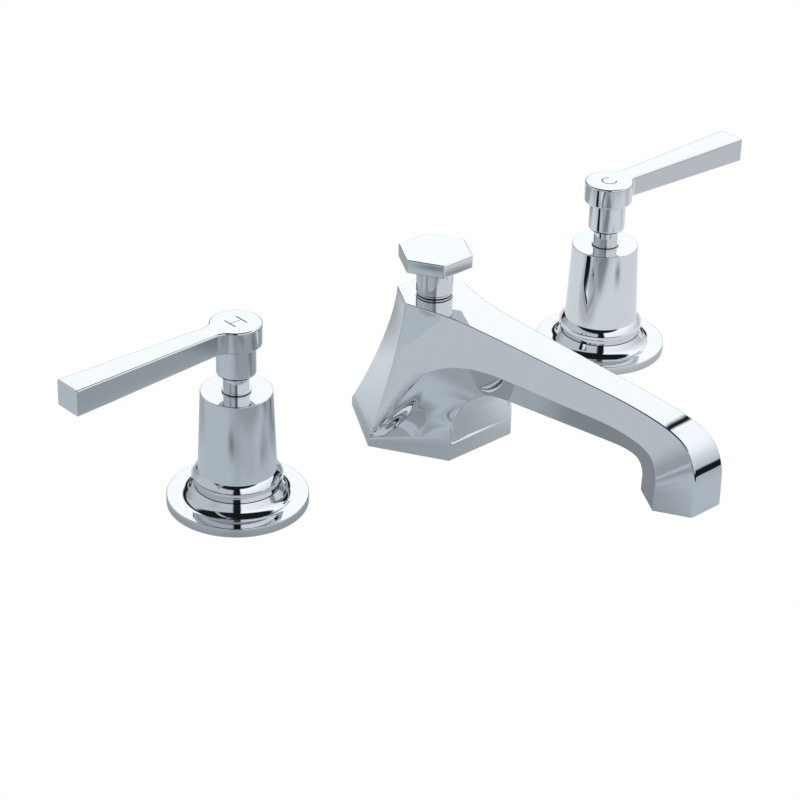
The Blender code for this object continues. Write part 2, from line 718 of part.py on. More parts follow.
def clamp_stack(label, shank, washer, nut, place):
    """The rubber washer, metal washer and locknut that hold a shank from below the deck."""
    bore = shank + GAP
    rubber_bottom = RUBBER_TOP - WASHER_THICKNESS
    metal_bottom = METAL_TOP - METAL_WASHER_THICKNESS
    ring(label + "_rubber_washer", bore, washer, rubber_bottom, RUBBER_TOP, INNER_FACETS, place, rubber)
    ring(label + "_metal_washer", bore, washer, metal_bottom, METAL_TOP, INNER_FACETS, place, steel)
    hexagonal_nut(label + "_locknut", nut, bore, place)


def handle_group(label, side):
    """One handle with everything that it needs, on its own axis. Side is -1 at the left and 1 at the right."""
    place = Vector((side * HANDLE_SPREAD / 2, 0, 0))
    escutcheon(label + "_escutcheon", place)
    sleeve(label + "_sleeve", place)
    stem_bushing(label + "_stem_bushing", place)
    seal_bore = VALVE_SHANK_RADIUS + GAP
    ring(label + "_deck_seal", seal_bore, VALVE_FLANGE_RADIUS, 0, VALVE_SEAL_THICKNESS, INNER_FACETS, place, rubber)
    valve_body(label + "_valve_body", place, -side)
    outlet_nipple(label + "_outlet_nipple", place, -side)
    cartridge(label + "_cartridge", place)
    seat_seal(label + "_seat_seal", place)
    ported_disc(label + "_fixed_disc", FIXED_DISC_BOTTOM, place, 0)
    moving_disc(label + "_moving_disc", place)
    spindle(label + "_spindle", place)
    stem_adapter(label + "_stem_adapter", place)
    lever_handle(label + "_handle", place, side)
    clamp_stack(label, VALVE_SHANK_RADIUS, VALVE_WASHER_RADIUS, VALVE_NUT_RADIUS, place)


def cove_radius_and_height():
    """The concave rise of the foot's corners to the platform, as (radius, height) points."""
    foot_out, foot_up = COVE_FOOT_SHARES
    top_out, top_up = COVE_TOP_SHARES
    points = [
        (FOOT_RADIUS, PLINTH_HEIGHT, 0),
        (between(PLATFORM_RADIUS, FOOT_RADIUS, foot_out), between(PLINTH_HEIGHT, SPOUT_HEIGHT, foot_up), 0),
        (between(PLATFORM_RADIUS, FOOT_RADIUS, top_out), between(PLINTH_HEIGHT, SPOUT_HEIGHT, top_up), 0),
        (PLATFORM_RADIUS, SPOUT_HEIGHT, 0),
    ]
    return [(point.x, point.y) for point in bezier(points, SIDE_ROWS)]


def arm_sections():
    """The top, middle and bottom edge points of the arm's left side, from its start round the bend to the outlet."""
    sections = []
    for i in range(ARM_STEPS + 1):
        share = i / ARM_STEPS
        y = -between(ARM_START, ARM_END, share)
        radius = between(ARM_START_RADIUS, ARM_END_RADIUS, share)
        depth = radius * between(*ARM_DEPTH_SHARES, share)
        top = Vector((-radius * between(ARM_TOP_SHARES[0], ARM_TOP_SHARES[1], share), y, SPOUT_HEIGHT))
        middle = Vector((-radius, y, SPOUT_HEIGHT - depth * ARM_MIDDLE_SHARES[0]))
        bottom = Vector((-radius * ARM_BOTTOM_SHARE, y, SPOUT_HEIGHT - depth))
        sections.append((top, middle, bottom))
    outer = Vector((0, BEND_OUTER_RADIUS - NOSE_FRONT, SPOUT_HEIGHT - BEND_OUTER_RADIUS))
    inner = Vector((0, BEND_INNER_RADIUS - NOSE_BACK, sections[-1][2].z - BEND_INNER_RADIUS))
    for i in range(1, BEND_STEPS + 1):
        share = i / BEND_STEPS
        angle = share * math.pi / 2
        radius = between(ARM_END_RADIUS, BEND_NOSE_RADIUS, share)
        turned = Vector((0, -math.sin(angle), math.cos(angle)))
        top = outer + BEND_OUTER_RADIUS * turned
        bottom = inner + BEND_INNER_RADIUS * turned
        middle = bottom.lerp(top, 1 - between(*ARM_MIDDLE_SHARES, share))
        top.x = -radius * between(ARM_TOP_SHARES[1], ARM_TOP_SHARES[2], share)
        middle.x = -radius
        bottom.x = -radius * HEX_HALF_SHARE
        sections.append((top, middle, bottom))
    corner = -NOSE_RADIUS * HEX_HALF_SHARE
    tip_top = Vector((corner, -NOSE_FRONT, NOSE_HEIGHT))
    tip_middle = Vector((-NOSE_RADIUS, -NOSE_REACH, NOSE_HEIGHT))
    tip_bottom = Vector((corner, -NOSE_BACK, NOSE_HEIGHT))
    sections.append((tip_top, tip_middle, tip_bottom))
    return sections


def root_edges(start):
    """The three edges that sweep from the platform and the foot into the arm's first section."""
    top, middle, bottom = start
    near, far = TOP_EDGE_SHARES
    top_edge = bezier(
        (
            (-PLATFORM_RADIUS, 0, SPOUT_HEIGHT),
            (-PLATFORM_RADIUS * near[0], -ARM_START * near[1], SPOUT_HEIGHT),
            (top.x * far[0], -ARM_START * far[1], SPOUT_HEIGHT),
            top,
        ),
        ROOT_STEPS,
    )
    near, far = MIDDLE_EDGE_SHARES
    middle_edge = bezier(
        (
            (-FOOT_RADIUS, 0, PLINTH_HEIGHT),
            (-FOOT_RADIUS * near[0], -ARM_START * near[1], SPOUT_HEIGHT * near[2]),
            (middle.x * far[0], -ARM_START * far[1], SPOUT_HEIGHT * far[2]),
            middle,
        ),
        ROOT_STEPS,
    )
    near, far = BOTTOM_EDGE_SHARES
    corner = Vector((-FOOT_RADIUS * HEX_HALF_SHARE, -FOOT_RADIUS * HEX_FLAT_SHARE, FRONT_PLINTH_HEIGHT))
    bottom_edge = bezier(
        (
            corner,
            (corner.x, corner.y * near[0], corner.z + SPOUT_HEIGHT * near[1]),
            (bottom.x * far[0], -ARM_START * far[1], bottom.z * far[2]),
            bottom,
        ),
        ROOT_STEPS,
    )
    return top_edge, middle_edge, bottom_edge


def side_grid(top_edge, middle_edge, back_corner):
    """Rows of points over the spout's upper side: a blend between its top, its middle edge and its back corner."""
    rows = []
    last = len(top_edge) - 1
    for j in range(SIDE_ROWS + 1):
        up = j / SIDE_ROWS
        row = []
        for i in range(last + 1):
            fade = max(0.0, 1 - i / ROOT_STEPS) ** 2
            plain = middle_edge[i].lerp(top_edge[i], up)
            bulge = back_corner[j] - back_corner[0].lerp(back_corner[-1], up)
            row.append(plain + fade * bulge)
        rows.append(row)
    return rows


def spout_skin():
    """The outer form as faces between its edges, left side first and then mirrored."""
    sections = arm_sections()
    top_edge, middle_edge, bottom_edge = root_edges(sections[0])
    top_edge += [section[0] for section in sections[1:]]
    middle_edge += [section[1] for section in sections[1:]]
    bottom_edge += [section[2] for section in sections[1:]]
    cove = cove_radius_and_height()
    side_corner = [Vector((-radius, 0, height)) for radius, height in cove]
    back_corner = [Vector((-radius * HEX_HALF_SHARE, radius * HEX_FLAT_SHARE, height)) for radius, height in cove]
    rows = side_grid(top_edge, middle_edge, side_corner)
    foot = [Vector((corner.x, corner.y, 0)) for corner in hexagon(FOOT_RADIUS, 0)]
    quads = []
    for lower, upper in zip(rows, rows[1:]):
        quads += zip(lower, lower[1:], upper[1:], upper)
    quads += zip(bottom_edge, bottom_edge[1:], middle_edge[1:], middle_edge)
    column = [row[0] for row in rows]
    quads += zip(back_corner, column, column[1:], back_corner[1:])
    quads.append((foot[2], foot[3], middle_edge[0], back_corner[0]))
    quads.append((foot[3], foot[4], bottom_edge[0], middle_edge[0]))
    spans = [(top_edge[i], top_edge[i + 1]) for i in range(len(top_edge) - 1)]
    spans += [(back_corner[-1], top_edge[0])]
    spans += [(bottom_edge[i + 1], bottom_edge[i]) for i in range(len(bottom_edge) - 1)]
    spans += [(back_corner[i], back_corner[i + 1]) for i in range(len(back_corner) - 1)]
    spans += [(foot[2], back_corner[0]), (bottom_edge[0], foot[4])]
    outlet = [row[-1] for row in reversed(rows)] + [bottom_edge[-1]]
    return quads, spans, outlet, foot


def flipped(point):
    return Vector((-point.x, point.y, point.z))


def spout_shell(name, place):
    """The spout's closed outer form."""
    quads, spans, outlet, foot = spout_skin()
    quads += [[flipped(point) for point in reversed(quad)] for quad in quads]
    quads += [(start, flipped(start), flipped(end), end) for start, end in spans]
    quads.append(outlet + [flipped(point) for point in reversed(outlet)])
    quads.append(foot)
    mesh = bmesh.new()
    for quad in quads:
        mesh.faces.new([mesh.verts.new(point) for point in quad])
    bmesh.ops.remove_doubles(mesh, verts=mesh.verts, dist=WELD_DISTANCE)
    return finish_mesh(name, mesh, place, chrome)


def waterway(name, place):
    """The cast passage from the water tube's socket along the arm to the aerator's chamber."""
    arm_level = SPOUT_HEIGHT - ARM_END_RADIUS * HEX_FLAT_SHARE
    places = [Vector((0, -TUBE_OFFSET, TUBE_SOCKET_TOP - OVERRUN))]
    for along, up in WATERWAY_SHARES:
        places.append(Vector((0, -between(TUBE_OFFSET, ARM_START, along), SPOUT_HEIGHT * up)))
    bend = NOSE_REACH - ARM_END
    places.append(Vector((0, -ARM_END, arm_level)))
    places.append(Vector((0, -NOSE_REACH + bend * (1 - HEX_FLAT_SHARE), arm_level - bend / 4)))
    places.append(Vector((0, -NOSE_REACH, AERATOR_CHAMBER_TOP - OVERRUN)))
    radii = [WATERWAY_START_RADIUS] * 2 + [WATERWAY_RADIUS] * (len(places) - 2)
    return loft(name, tube_rings(places, radii, SMALL_FACETS), place)


def spout_body(name, place):
    """The cast spout with its passages for water, shank and lift rod."""
    made = spout_shell(name, place)
    tube_place = place - Vector((0, TUBE_OFFSET, 0))
    nose_place = place - Vector((0, NOSE_REACH, 0))
    recess_top = GASKET_THICKNESS + GAP
    recess = cylinder(name + "_recess_cutter", GASKET_RADIUS + GAP, -OVERRUN, recess_top, INNER_FACETS, place)
    socket = cylinder(name + "_shank_cutter", SHANK_RADIUS + GAP, -OVERRUN, SHANK_SOCKET_TOP, INNER_FACETS, place)
    tube_radius = TUBE_RADIUS + GAP
    tube_low = SHANK_SOCKET_TOP - OVERRUN
    tube = cylinder(name + "_tube_cutter", tube_radius, tube_low, TUBE_SOCKET_TOP, SMALL_FACETS, tube_place)
    rod_high = SPOUT_HEIGHT + OVERRUN
    rod = cylinder(name + "_rod_cutter", ROD_CLEAR_RADIUS, tube_low, rod_high, SMALL_FACETS, place)
    bushing_low = SPOUT_HEIGHT - ROD_BUSHING_DEPTH - GAP
    seat = cylinder(name + "_seat_cutter", ROD_BUSHING_RADIUS + GAP, bushing_low, rod_high, INNER_FACETS, place)
    chamber_low = NOSE_HEIGHT - OVERRUN
    chamber_radius = AERATOR_RADIUS + GAP
    chamber = cylinder(
        name + "_chamber_cutter", chamber_radius, chamber_low, AERATOR_CHAMBER_TOP, INNER_FACETS, nose_place
    )
    cut(made, recess, socket, tube, rod, seat, chamber, waterway(name + "_waterway_cutter", place))
    return made


def rod_bushing(name, place):
    """The flanged guide in the platform that the knob rests on."""
    outline = [
        (ROD_CLEAR_RADIUS, SPOUT_HEIGHT - ROD_BUSHING_DEPTH),
        (ROD_BUSHING_RADIUS, SPOUT_HEIGHT - ROD_BUSHING_DEPTH),
        (ROD_BUSHING_RADIUS, BUSHING_RIM_BOTTOM),
        (ROD_BUSHING_RIM_RADIUS, BUSHING_RIM_BOTTOM),
        (ROD_BUSHING_RIM_RADIUS, BUSHING_RIM_BOTTOM + ROD_BUSHING_RIM_HEIGHT),
        (ROD_CLEAR_RADIUS, BUSHING_RIM_BOTTOM + ROD_BUSHING_RIM_HEIGHT),
    ]
    return revolve(name, outline, INNER_FACETS, place, chrome)


def lift_knob(name, place):
    """The hexagonal knob on its round neck, bored for the rod."""
    neck_top = KNOB_BOTTOM + KNOB_NECK_HEIGHT
    made = hexagonal_prism(name, KNOB_RADIUS, neck_top, KNOB_TOP, KNOB_EDGE, place, chrome)
    overlap = neck_top + KNOB_THICKNESS / 2
    neck = cylinder(name + "_neck", KNOB_NECK_RADIUS, KNOB_BOTTOM, overlap, SHOWN_FACETS, place)
    low = KNOB_BOTTOM - OVERRUN
    bore = cylinder(name + "_bore_cutter", ROD_CLEAR_RADIUS, low, ROD_TOP + GAP, SMALL_FACETS, place)
    fuse(made, neck)
    cut(made, bore)
    return made


def water_tube(name, place):
    """The supply tube: straight through the shank, then bent forward, clear of the rod, to the tee."""
    start = Vector((0, -TUBE_OFFSET, TUBE_TOP))
    straight = Vector((0, -TUBE_OFFSET, SHANK_BOTTOM))
    forward = Vector((0, -TUBE_OFFSET - TUBE_BEND, TUBE_BOTTOM + TEE_SOCKET_DEPTH + EDGE))
    end = Vector((0, forward.y, TUBE_BOTTOM))
    drop = (straight.z - forward.z) / 2
    lean = (straight - Vector((0, 0, drop)), forward + Vector((0, 0, drop)))
    path = [start] + bezier((straight, *lean, forward), ARC_STEPS + 1) + [end]
    made = loft(name, tube_rings(path, [TUBE_RADIUS] * len(path), SMALL_FACETS), place, steel)
    beyond = Vector((0, 0, OVERRUN))
    bore_path = [start + beyond] + path[1:-1] + [end - beyond]
    rings = tube_rings(bore_path, [TUBE_BORE_RADIUS] * len(bore_path), SMALL_FACETS)
    cut(made, loft(name + "_cutter", rings, place))
    return made


def tee_fitting(name, place):
    """The tee below the spout, with a socket for the tube and an arm for each valve's hose."""
    centre = place - Vector((0, TUBE_OFFSET + TUBE_BEND, 0))
    made = cylinder(name, TEE_RADIUS, TEE_BOTTOM, TEE_TOP, INNER_FACETS, centre, brass)
    level = centre + Vector((0, 0, TEE_LEVEL))
    run = lay_along_x(cylinder(name + "_run", TEE_ARM_RADIUS, -TEE_REACH, TEE_REACH, INNER_FACETS), level)
    reach = TEE_REACH + OVERRUN
    bore = lay_along_x(cylinder(name + "_run_cutter", TEE_BORE_RADIUS, -reach, reach, SMALL_FACETS), level)
    socket_low = TUBE_BOTTOM - GAP
    socket_high = TEE_TOP + OVERRUN
    socket = cylinder(name + "_socket_cutter", TUBE_RADIUS + GAP, socket_low, socket_high, SMALL_FACETS, centre)
    down = cylinder(name + "_down_cutter", TUBE_BORE_RADIUS, TEE_LEVEL, socket_low + EDGE, SMALL_FACETS, centre)
    fuse(made, run)
    cut(made, bore, socket, down)
    return made


def aerator_shell(name, place):
    """The aerator's housing, with a lip that holds the screen."""
    lip_top = AERATOR_BOTTOM + AERATOR_LIP_HEIGHT
    outline = [
        (AERATOR_LIP_RADIUS, AERATOR_BOTTOM),
        (AERATOR_RADIUS, AERATOR_BOTTOM),
        (AERATOR_RADIUS, AERATOR_TOP),
        (AERATOR_BORE_RADIUS, AERATOR_TOP),
        (AERATOR_BORE_RADIUS, lip_top),
        (AERATOR_LIP_RADIUS, lip_top),
    ]
    return revolve(name, outline, INNER_FACETS, place, chrome)


def aerator_screen(name, place):
    """The flow straightener: a disc with one hole in the middle and six round it."""
    top = SCREEN_BOTTOM + SCREEN_THICKNESS
    radius = AERATOR_BORE_RADIUS - GAP
    made = cylinder(name, radius, SCREEN_BOTTOM, top, INNER_FACETS, place, plastic)
    spots = [Vector((0, 0, 0))] + hexagon(SCREEN_HOLE_CIRCLE, 0)
    low = SCREEN_BOTTOM - OVERRUN
    high = top + OVERRUN
    for i, spot in enumerate(spots):
        hole = cylinder(f"{name}_hole_cutter_{i}", SCREEN_HOLE_RADIUS, low, high, HOLE_FACETS, place + spot)
        cut(made, hole)
    return made


def aerator_washer(name, place):
    low = AERATOR_TOP + GAP
    bore = AERATOR_WASHER_BORE_RADIUS
    return ring(name, bore, AERATOR_RADIUS, low, AERATOR_WASHER_TOP, INNER_FACETS, place, rubber)


def spout_group():
    """The spout with its fixings, water tube, tee, aerator and lift knob."""
    place = Vector((0, -SPOUT_FORWARD, 0))
    nose_place = place - Vector((0, NOSE_REACH, 0))
    spout_body("spout_body", place)
    gasket_bore = GASKET_BORE_RADIUS
    ring("spout_gasket", gasket_bore, GASKET_RADIUS, 0, GASKET_THICKNESS, INNER_FACETS, place, rubber)
    shank_top = SHANK_SOCKET_TOP - GAP
    ring("spout_shank", SHANK_BORE_RADIUS, SHANK_RADIUS, SHANK_BOTTOM, shank_top, INNER_FACETS, place, brass)
    clamp_stack("spout", SHANK_RADIUS, SPOUT_WASHER_RADIUS, SPOUT_NUT_RADIUS, place)
    water_tube("water_tube", place)
    tee_fitting("tee_fitting", place)
    aerator_shell("aerator_shell", nose_place)
    aerator_screen("aerator_screen", nose_place)
    aerator_washer("aerator_washer", nose_place)
    rod_bushing("rod_bushing", place)
    lift_knob("lift_knob", place)
    cylinder("lift_rod", ROD_RADIUS, -ROD_DROP, ROD_TOP, SMALL_FACETS, place, chrome)


def main():
    clear_scene()
    handle_group("hot", -1)
    handle_group("cold", 1)
    spout_group()


main()
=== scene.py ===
import math

import bmesh
import bpy
from mathutils import Matrix, Vector


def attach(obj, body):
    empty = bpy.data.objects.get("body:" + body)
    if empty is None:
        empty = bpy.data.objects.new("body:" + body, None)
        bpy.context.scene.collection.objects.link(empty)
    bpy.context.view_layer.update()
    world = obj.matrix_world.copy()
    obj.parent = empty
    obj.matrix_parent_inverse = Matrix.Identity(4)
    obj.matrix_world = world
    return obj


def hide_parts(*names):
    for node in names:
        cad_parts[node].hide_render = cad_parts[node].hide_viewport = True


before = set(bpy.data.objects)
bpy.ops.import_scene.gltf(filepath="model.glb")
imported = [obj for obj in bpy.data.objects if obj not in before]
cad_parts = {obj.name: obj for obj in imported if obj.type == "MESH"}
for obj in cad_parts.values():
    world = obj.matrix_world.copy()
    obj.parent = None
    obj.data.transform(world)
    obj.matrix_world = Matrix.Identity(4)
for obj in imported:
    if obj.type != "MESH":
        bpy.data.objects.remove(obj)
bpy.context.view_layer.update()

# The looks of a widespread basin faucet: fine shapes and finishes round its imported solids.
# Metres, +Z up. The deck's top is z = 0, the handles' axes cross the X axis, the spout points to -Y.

# Layout
HANDLE_PLACE = 0.1016
SPOUT_PLACE = Vector((0, -0.0015, 0))
RIGHT_ANGLE = math.pi / 2
HALF_TURN = math.pi
FULL_TURN = math.tau

# How finely shapes are made
SPIN_STEPS = 96
SMALL_SPIN_STEPS = 48
HOLE_STEPS = 12
OUTLINE_STEPS = 60
LETTER_STEPS = 40
FILLET_STEPS = 8
ARC_ANGLE = math.radians(9)
SMOOTH_ANGLE = math.radians(35)
THREAD_ANGLE = math.radians(30)
NUT_ANGLE = math.radians(25)
WELD = 0.000002
DOT = 0.001
CLEAR = 0.0015

# Outlines are corners (across, up) with a rounding where they have one. Rods are (radius, bottom, top,
# rounding), rings (bore, radius, bottom, top, rounding), nuts (radius, bore, bottom, top), hexagonal bars
# (radius, bottom, top) and threads (root, crest, bottom, top, pitch).

# Rose, sleeve and stem
ROSE_RIM = ((0.0263, 0), (0.0281, 0, 0.0003), (0.0281, 0.0039, 0.0004))
COVE_CENTRE = (0.0232, 0.0093)
COVE_RADIUS = 0.0054
COVE_SPAN = (-90, -147)
ROSE_INSIDE = (
    (0.0173, 0.0085), (0.0146, 0.0085), (0.0146, 0.0067),
    (0.0172, 0.0049), (0.0180, 0.0016), (0.0263, 0.0016),
)
SLEEVE_FOOT = (
    (0.0148, 0.0088), (0.0171, 0.0088), (0.0171, 0.0108), (0.0181, 0.0116, 0.0003),
    (0.0181, 0.0130, 0.0002), (0.0177, 0.0131),
)
SWELL_CENTRE = (0.0099, 0.0086)
SWELL_RADIUS = 0.0090
SWELL_SPAN = (31, 50.5)
SLEEVE_TOP = (
    (0.0142, 0.0497, 0.0004), (0.00545, 0.0497, 0.0002), (0.00545, 0.0479), (0.0125, 0.0479),
    (0.0137, 0.0160), (0.0131, 0.0156), (0.0131, 0.0088),
)
STEM_CORNERS = (
    (0, 0.0428), (0.00515, 0.0428), (0.00515, 0.0500), (0.00584, 0.0500, 0.0002),
    (0.00584, 0.0508, 0.0002), (0.00515, 0.0508), (0.00515, 0.0658, 0.0003), (0, 0.0658),
)

# Valve, nipple, set screw and the hardware below the deck
VALVE_CORNERS = (
    (0.0050, -0.0500), (0.0050, -0.0840, 0.0004), (0.0092, -0.0840, 0.0005), (0.0092, -0.0705),
    (0.0103, -0.0700), (0.0136, -0.0700, 0.0006), (0.0136, -0.0540, 0.0006), (0.0126, -0.0540),
    (0.0126, 0.0010), (0.0130, 0.0018), (0.0171, 0.0018, 0.0004), (0.0171, 0.0038, 0.0004),
    (0.0117, 0.0038), (0.0117, 0.0170, 0.0003), (0.0097, 0.0170), (0.0097, 0.0065),
    (0.0050, 0.0065),
)
VALVE_THREADS = (
    (0.0127, 0.0140, -0.0535, 0.0005, 0.0018), (0.0118, 0.0128, 0.0045, 0.0165, 0.0012),
    (0.0093, 0.0103, -0.0836, -0.0705, 0.0014),
)
OUTLET_HEIGHT = -0.0620
FLAT_SIZE = (0.0040, 0.0300, 0.0115)
FLAT_PLACE = 0.0136
NIPPLE_CORNERS = (
    (0.0026, 0.0109), (0.0044, 0.0109), (0.0044, 0.0185), (0.0040, 0.0188),
    (0.0044, 0.0208, 0.0001), (0.0039, 0.0210), (0.0044, 0.0230, 0.0001), (0.0039, 0.0232),
    (0.0036, 0.0260, 0.0003), (0.0026, 0.0260, 0.0003),
)
NIPPLE_COLLAR = (0.0062, 0.0139, 0.0170)
NIPPLE_COLLAR_EDGE = 0.0003
SCREW = (0.0014, -0.0002, 0.0020, 0.0002)
SCREW_SOCKET = (0.0008, 0.0006, 0.0030)
SCREW_PLACE = (0, 0.0058, 0.0625)
SCREW_HOLE = (0.0016, 0, 0.0050, 0)
SCREW_HOLE_PLACE = (0, 0.0060, 0.0625)
DECK_SEAL = (0.0143, 0.0171, 0, 0.0015, 0.0003)
HANDLE_WASHER = (0.0143, 0.0200, -0.0330, -0.0300, 0.0005)
HANDLE_PLATE = (0.0143, 0.0200, -0.0348, -0.0333, 0.0002)
HANDLE_NUT = (0.0208, 0.0143, -0.0461, -0.0351)
FOOT_GASKET = (0.0170, 0.0270, 0, 0.0024, 0.0005)
SPOUT_WASHER = (0.0158, 0.0230, -0.0330, -0.0300, 0.0005)
SPOUT_PLATE = (0.0158, 0.0230, -0.0348, -0.0333, 0.0002)
SPOUT_NUT = (0.0237, 0.0158, -0.0461, -0.0351)
NUT_SLOPE = 1.08
BORE_CHAMFER = 0.0008

# Lever handle
HUB_TOP = 0.0793
HUB_RADIUS = 0.0103
HUB_DEPTH = 0.0091
COLLAR_CORNERS = (
    (0.0055, 0.0569), (0.0078, 0.0569, 0.0016), (0.0078, 0.0704, 0.0003), (0.0090, 0.0704),
    (0.0090, 0.0720), (0.0055, 0.0720),
)
LEVER_REACH = 0.0784
LEVER_ROOT = 0.0044
LEVER_END = 0.0062
LEVER_END_DEPTH = 0.0108
LEVER_FILLET = 0.0060
LEVER_EDGE = 0.0008
LETTER_HALF_HEIGHT = 0.0034
LETTER_HALF_WIDTH = 0.0028
LETTER_STROKE = 0.00055
LETTER_DEPTH = 0.0003
LETTER_ROUND = 0.0031
LETTER_OPENING = math.radians(45)
INLAY_SHARE = 0.9

# Spout
SPOUT_HEIGHT = 0.0596
FOOT_RADIUS = 0.0348
PLINTH_HEIGHT = 0.0042
FRONT_PLINTH_HEIGHT = 0.0100
PLATFORM_RADIUS = 0.0159
ARM_START = 0.0445
ARM_END = 0.1170
ARM_START_RADIUS = 0.0160
ARM_END_RADIUS = 0.0114
BEND_OUTER_RADIUS = 0.0195
BEND_INNER_RADIUS = 0.0080
BEND_NOSE_RADIUS = 0.0150
NOSE_REACH = 0.1387
NOSE_RADIUS = 0.0153
NOSE_HEIGHT = 0.0270
ARM_DEPTHS = (1.64, 1.70)
TOP_WIDTHS = (0.54, 0.545)
LIP_SHARE = 0.45
LOWER_WIDTH = 0.49
HEX_HALF = 0.5
HEX_FLAT = math.sqrt(3) / 2
TOP_PULLS = ((0.76, 0.325, 1), (1.02, 0.52, 1))
LIP_PULLS = ((0.68, 0.045, 0.37), (1.36, 0.47, 0.80))
FOOT_RISE = 0.20
LOWER_PULL = (1.08, 0.74, 0.968)
COVE_PULLS = ((0.68, 0.20), (0.05, 0.70))
SPOUT_EDGE = 0.00045
LIP_EDGE = 0.0009
HOLLOWS = ((0.0026, 0.00035), (0.0110, 0.00025))
HOLLOW_LENGTH = 27
ROOT_STEPS = 36
ARM_STEPS = 60
BEND_STEPS = 24
NOSE_STEPS = 6
SIDE_ROWS = 14
LOWER_ROWS = 60
PLINTH_ROWS = 2
LIP_SEGMENTS = 4
LEDGE_HEIGHTS = (
    (0.0067, -0.0002), (0.0070, 0), (0.0074, 0.00016), (0.0077, 0.00040), (0.0080, 0.00080),
    (0.0081, 0.0013), (0.0083, 0.0013), (0.0120, 0.0009), (0.0160, 0.00045), (0.0200, 0), (0.0206, -0.0002),
)
LEDGE_START = -0.0166
LEDGE_FULL = -0.0152
LEDGE_STOP = 0.0150
LEDGE_SKIN = 0.0002
LEDGE_OUT = 0.0020
LEDGE_STEPS = 8

# Knob, guide, shank and what the spout holds
SPOUT_BORES = (
    (0.0273, -CLEAR, 0.0027, 0), (0.0158, -CLEAR, 0.0160, 0),
    (0.0060, SPOUT_HEIGHT - 0.0040, SPOUT_HEIGHT + CLEAR, 0), (0.0027, 0.0150, SPOUT_HEIGHT, 0),
)
CHAMBER = (0.0098, NOSE_HEIGHT - CLEAR, 0.0373, 0)
GUIDE_CORNERS = (
    (0.0027, 0.0559), (0.0057, 0.0559), (0.0057, 0.0599), (0.0073, 0.0599, 0.0002),
    (0.0073, 0.0606, 0.0002), (0.0027, 0.0606, 0.0002),
)
KNOB_HEAD = (0.0158, 0.0731, 0.0789)
KNOB_EDGE = 0.0006
NECK_CORNERS = ((0.0027, 0.0609), (0.0076, 0.0609, 0.0002), (0.0076, 0.0735), (0.0027, 0.0735))
PULL_ROD = (0.0024, -0.1120, 0.0699, 0.0006)
SHANK_CORNERS = (
    (0.0123, -0.0520, 0.0005), (0.0141, -0.0520, 0.0005), (0.0141, 0.0157, 0.0005), (0.0123, 0.0157, 0.0005),
)
SHANK_THREAD = (0.0142, 0.0155, -0.0516, 0.0155, 0.0018)
AERATOR_CORNERS = (
    (0.0068, 0.0275, 0.0002), (0.0095, 0.0275, 0.0004), (0.0095, 0.0350, 0.0002), (0.0078, 0.0350),
    (0.0078, 0.0287), (0.0068, 0.0287),
)
SCREEN = (0.0075, 0.0290, 0.0325, 0.0003)
SCREEN_HOLE = (0.00065, 0.0280, 0.0335, 0)
SCREEN_RINGS = ((1, 0), (6, 0.0022), (12, 0.0041), (18, 0.0060))
TUBE_RADIUS = 0.0040
TUBE_STOPS = (
    (-0.0078, 0.0242, 0.0200), (-0.0078, -0.0520, 0.0120), (-0.0198, -0.0716, 0.0080),
    (-0.0198, -0.0800, 0.0020),
)
TEE_PLACE = -0.0198
TEE_CORNERS = (
    (0, -0.0943), (0.0080, -0.0943, 0.0012), (0.0080, -0.0723, 0.0008), (0.0043, -0.0723, 0.0004),
    (0.0043, -0.0800), (0, -0.0800),
)
RUN_CORNERS = (
    (0.0034, -0.0260, 0.0004), (0.0056, -0.0260, 0.0005), (0.0056, -0.0130), (0.0065, -0.0126, 0.0004),
    (0.0065, 0.0126, 0.0004), (0.0056, 0.0130), (0.0056, 0.0260, 0.0005), (0.0034, 0.0260, 0.0004),
)
RUN_HEIGHT = -0.0863
RUN_THREADS = ((0.0057, 0.0065, -0.0257, -0.0133, 0.0012), (0.0057, 0.0065, 0.0133, 0.0257, 0.0012))


# Tools of the hand


def alone(piece):
    """One object selected and active, and nothing else."""
    bpy.ops.object.select_all(action="DESELECT")
    piece.select_set(True)
    bpy.context.view_layer.objects.active = piece


def begin_edit(piece):
    alone(piece)
    bpy.ops.object.mode_set(mode="EDIT")
    bpy.ops.mesh.select_all(action="SELECT")


def end_edit():
    bpy.ops.object.mode_set(mode="OBJECT")


def named(name):
    """The object that an operator just made, with its name."""
    piece = bpy.context.object
    piece.name = name
    piece.data.name = name
    return piece


def pick(kind, test):
    """Selects the verts, edges or faces of the mesh in edit mode for which the test holds."""
    bpy.ops.mesh.select_all(action="DESELECT")
    data = bpy.context.object.data
    mesh = bmesh.from_edit_mesh(data)
    for item in getattr(mesh, kind):
        if test(item):
            item.select_set(True)
    mesh.select_flush_mode()
    bmesh.update_edit_mesh(data)


def tidy_mesh():
    """Closes the seams and poles of the mesh in edit mode and turns its faces outwards."""
    bpy.ops.mesh.select_all(action="SELECT")
    bpy.ops.mesh.remove_doubles(threshold=WELD)
    bpy.ops.mesh.normals_make_consistent(inside=False)


def applied(piece):
    """Keeps a piece's place, turn and size in its mesh."""
    alone(piece)
    bpy.ops.object.transform_apply(location=True, rotation=True, scale=True)
    return piece


def put(piece, place, turn=(0, 0, 0)):
    """Turns and moves a piece."""
    piece.rotation_euler = turn
    piece.location = place
    return applied(piece)


def modify(piece, kind, **settings):
    """Adds a modifier and applies it."""
    alone(piece)
    modifier = piece.modifiers.new(kind.title(), kind)
    for name, value in settings.items():
        setattr(modifier, name, value)
    bpy.ops.object.modifier_apply(modifier=modifier.name)
    return piece


def combine(piece, other, operation):
    """A Boolean with another piece, which is used up."""
    modify(piece, "BOOLEAN", operation=operation, solver="MANIFOLD", object=other)
    bpy.data.objects.remove(other)
    return piece


